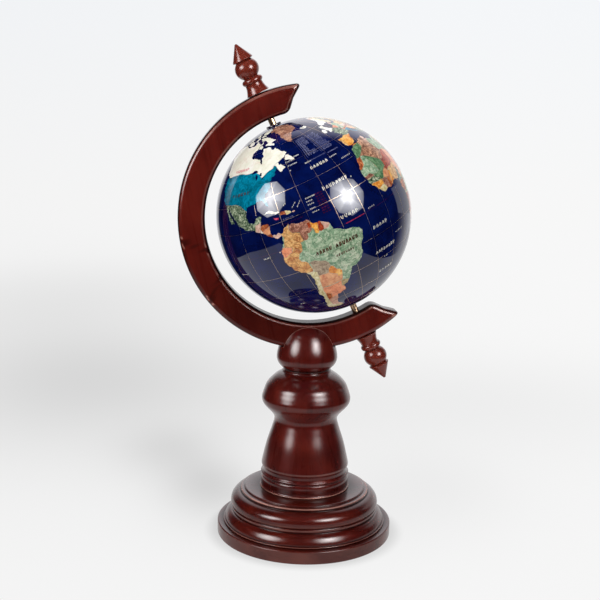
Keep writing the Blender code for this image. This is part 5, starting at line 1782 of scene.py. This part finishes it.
# A mark is two or three strokes: place across and up its cell, length in heights, lean
MARKS = (
    ((0.16, 0.50, 0.95, 86), (0.58, 0.56, 0.50, 86)),
    ((0.18, 0.50, 0.95, 80), (0.40, 0.26, 0.35, 30), (0.62, 0.62, 0.60, 80)),
    ((0.20, 0.36, 0.60, 86), (0.40, 0.74, 0.45, 40), (0.64, 0.38, 0.60, 86)),
    ((0.16, 0.60, 0.70, 86), (0.40, 0.18, 0.35, 4), (0.62, 0.50, 0.95, 74)),
    ((0.24, 0.50, 0.90, 64), (0.58, 0.40, 0.60, 86)),
)
ROW_STROKE = 0.17                    # a stroke's width as a share of its row's height
ROW_STROKE_BROAD = 0.24              # the same for the dark capitals
THINNEST_STROKE = 0.2                # millimetres
MARK_ROOM = 0.9                      # share of its cell that a mark may take up
LEAN_SPREAD = 5                      # degrees either way
# Blocks of level strokes: left, right, low and high (degrees), number of rows
BLOCKS = ((-42.0, -38.2, 43.2, 58.0, 19), (-37.9, -33.2, 43.2, 46.4, 4),
          (-37.9, -33.2, 51.0, 58.0, 9), (-29.2, -20.5, 42.2, 57.6, 20))
# Upright bars beside the blocks: their feet and tops
BARS = (((-43.4, 42.6), (-42.8, 58.0)), ((-31.9, 42.1), (-31.4, 58.0)),
        ((-30.6, 42.1), (-30.3, 58.0)))
# Length of a block's strokes, the spaces between them and the least last one, in degrees
BLOCK_LENGTHS, BLOCK_SPACES, BLOCK_LEAST = (0.6, 1.9), (0.35, 0.7), 0.8
# The striped squares: longitudes of their columns and how far a stripe may be out
SQUARE_COLUMNS, SQUARE_SPREAD = (-51.2, -49.4, -47.8), 0.15


def between(start, end, share):
    """The value at a share of the way from start to end."""
    return start + (end - start) * share


# Each of these gives strokes as finish, place, lean from east to north in degrees, length and
# width in millimetres.

def row_strokes(draw):
    rows = ((finish, *row) for finish, group in STROKE_ROWS for row in group)
    for finish, start, end, low, high, height, count in rows:
        broad = ROW_STROKE_BROAD if finish == "umber_stone" else ROW_STROKE
        width = max(THINNEST_STROKE, broad * height * DEGREE)
        for number in range(count):
            mark = MARKS[draw.randrange(len(MARKS))]
            for across, up, length, lean in mark:
                share = (number + across * MARK_ROOM) / count
                spot = (between(start, end, share),
                        between(low, high, share) + height * (up - 0.5))
                yield (finish, spot, lean + draw.uniform(-LEAN_SPREAD, LEAN_SPREAD),
                       length * height * DEGREE, width)


def block_strokes(draw):
    for left, right, low, high, rows in BLOCKS:
        for row in range(rows):
            north = low + (high - low) * (row + 0.5) / rows
            east = left
            while east < right - BLOCK_LEAST:
                long = draw.uniform(*BLOCK_LENGTHS)
                yield ("smoke", (east + long / 2, north), 0,
                       long * DEGREE * math.cos(math.radians(north)), 0.5)
                east += long + draw.uniform(*BLOCK_SPACES)


def bar_strokes(draw):
    for start, end in BARS:
        for share in np.linspace(0.05, 0.95, 10):
            spot = (between(start[0], end[0], share), between(start[1], end[1], share))
            yield "smoke", spot, 89, 2.0, 0.22


def square_strokes(draw):
    for north in np.linspace(10.5, 21.5, 9):
        for column in SQUARE_COLUMNS:
            east = column + draw.uniform(-SQUARE_SPREAD, SQUARE_SPREAD)
            yield "maroon_stone", (east, north), 0, 1.5, 0.8


def equator_strokes(draw):
    for east in np.arange(-42.3, -31, 1.0):
        yield "coral_stone", (east, 0), 0, 1.5, 0.5


def island_dots(draw):
    for spot in DOTS:
        for lean in (0, 60, 120):
            yield "shell", spot, lean, 1.0, 0.6


def slab_on_ball(spot, lean, length, width):
    """A slab's centre, the way it runs, the way it faces and its size."""
    east, north = np.radians(spot)
    out = on_ball([spot], 1.0)[0]
    easting = np.array((-math.sin(east), math.cos(east), 0)) @ MAP
    northing = np.cross(out, easting)
    along = easting * math.cos(math.radians(lean)) + northing * math.sin(math.radians(lean))
    return (out * (GLOBE_RADIUS + STROKE_PROUD - 0.5 * STROKE_DEPTH), along, out,
            (length * MM, width * MM, STROKE_DEPTH))


def strokes():
    """Rows of slanting strokes, blocks of level ones, the striped squares and island dots."""
    draw = random.Random(STROKE_SEED)
    by_finish = {}
    for strokes_of in (row_strokes, block_strokes, bar_strokes, square_strokes,
                       equator_strokes, island_dots):
        for finish, spot, lean, length, width in strokes_of(draw):
            by_finish.setdefault(finish, []).append(slab_on_ball(spot, lean, length, width))
    for finish, slabs in by_finish.items():
        name = finish + "_strokes"
        mesh = bpy.data.meshes.new(name)
        centres, alongs, outs, sizes = zip(*slabs)
        mesh.from_pydata([tuple(centre) for centre in centres], [], [])
        for label, vectors in (("along", alongs), ("out", outs), ("size", sizes)):
            field = mesh.attributes.new(label, "FLOAT_VECTOR", "POINT")
            field.data.foreach_set("vector", [value for vector in vectors for value in vector])
        lay_on_ball(piece_from(name, mesh), STROKES, {"Finish": FINISH[finish]}, "inlay_stone")


# ------------------------------ build and hand over

def build_stand():
    make_base()
    make_column()
    make_arm()
    make_finial("finial_up", "finial_top", False, TOP_FINIAL_ASIDE, TOP_FINIAL_LEAN)
    make_finial("finial_down", "finial_bottom", True)
    make_pin("brass_pin_up", "pin_top", False)
    make_pin("brass_pin_down", "pin_bottom", True)


def build_globe():
    make_cap("pole_disc_north", "pole_cap_north", False)
    make_cap("pole_disc_south", "pole_cap_south", True)
    skin = skin_mesh()
    make_ball(*skin)
    border_wires(*skin)
    graticule()
    strokes()


build_stand()
build_globe()
add_stage()
add_softboxes()
add_card()
add_fill()
add_world()
add_camera()
bpy.context.scene.view_settings.view_transform = "Standard"
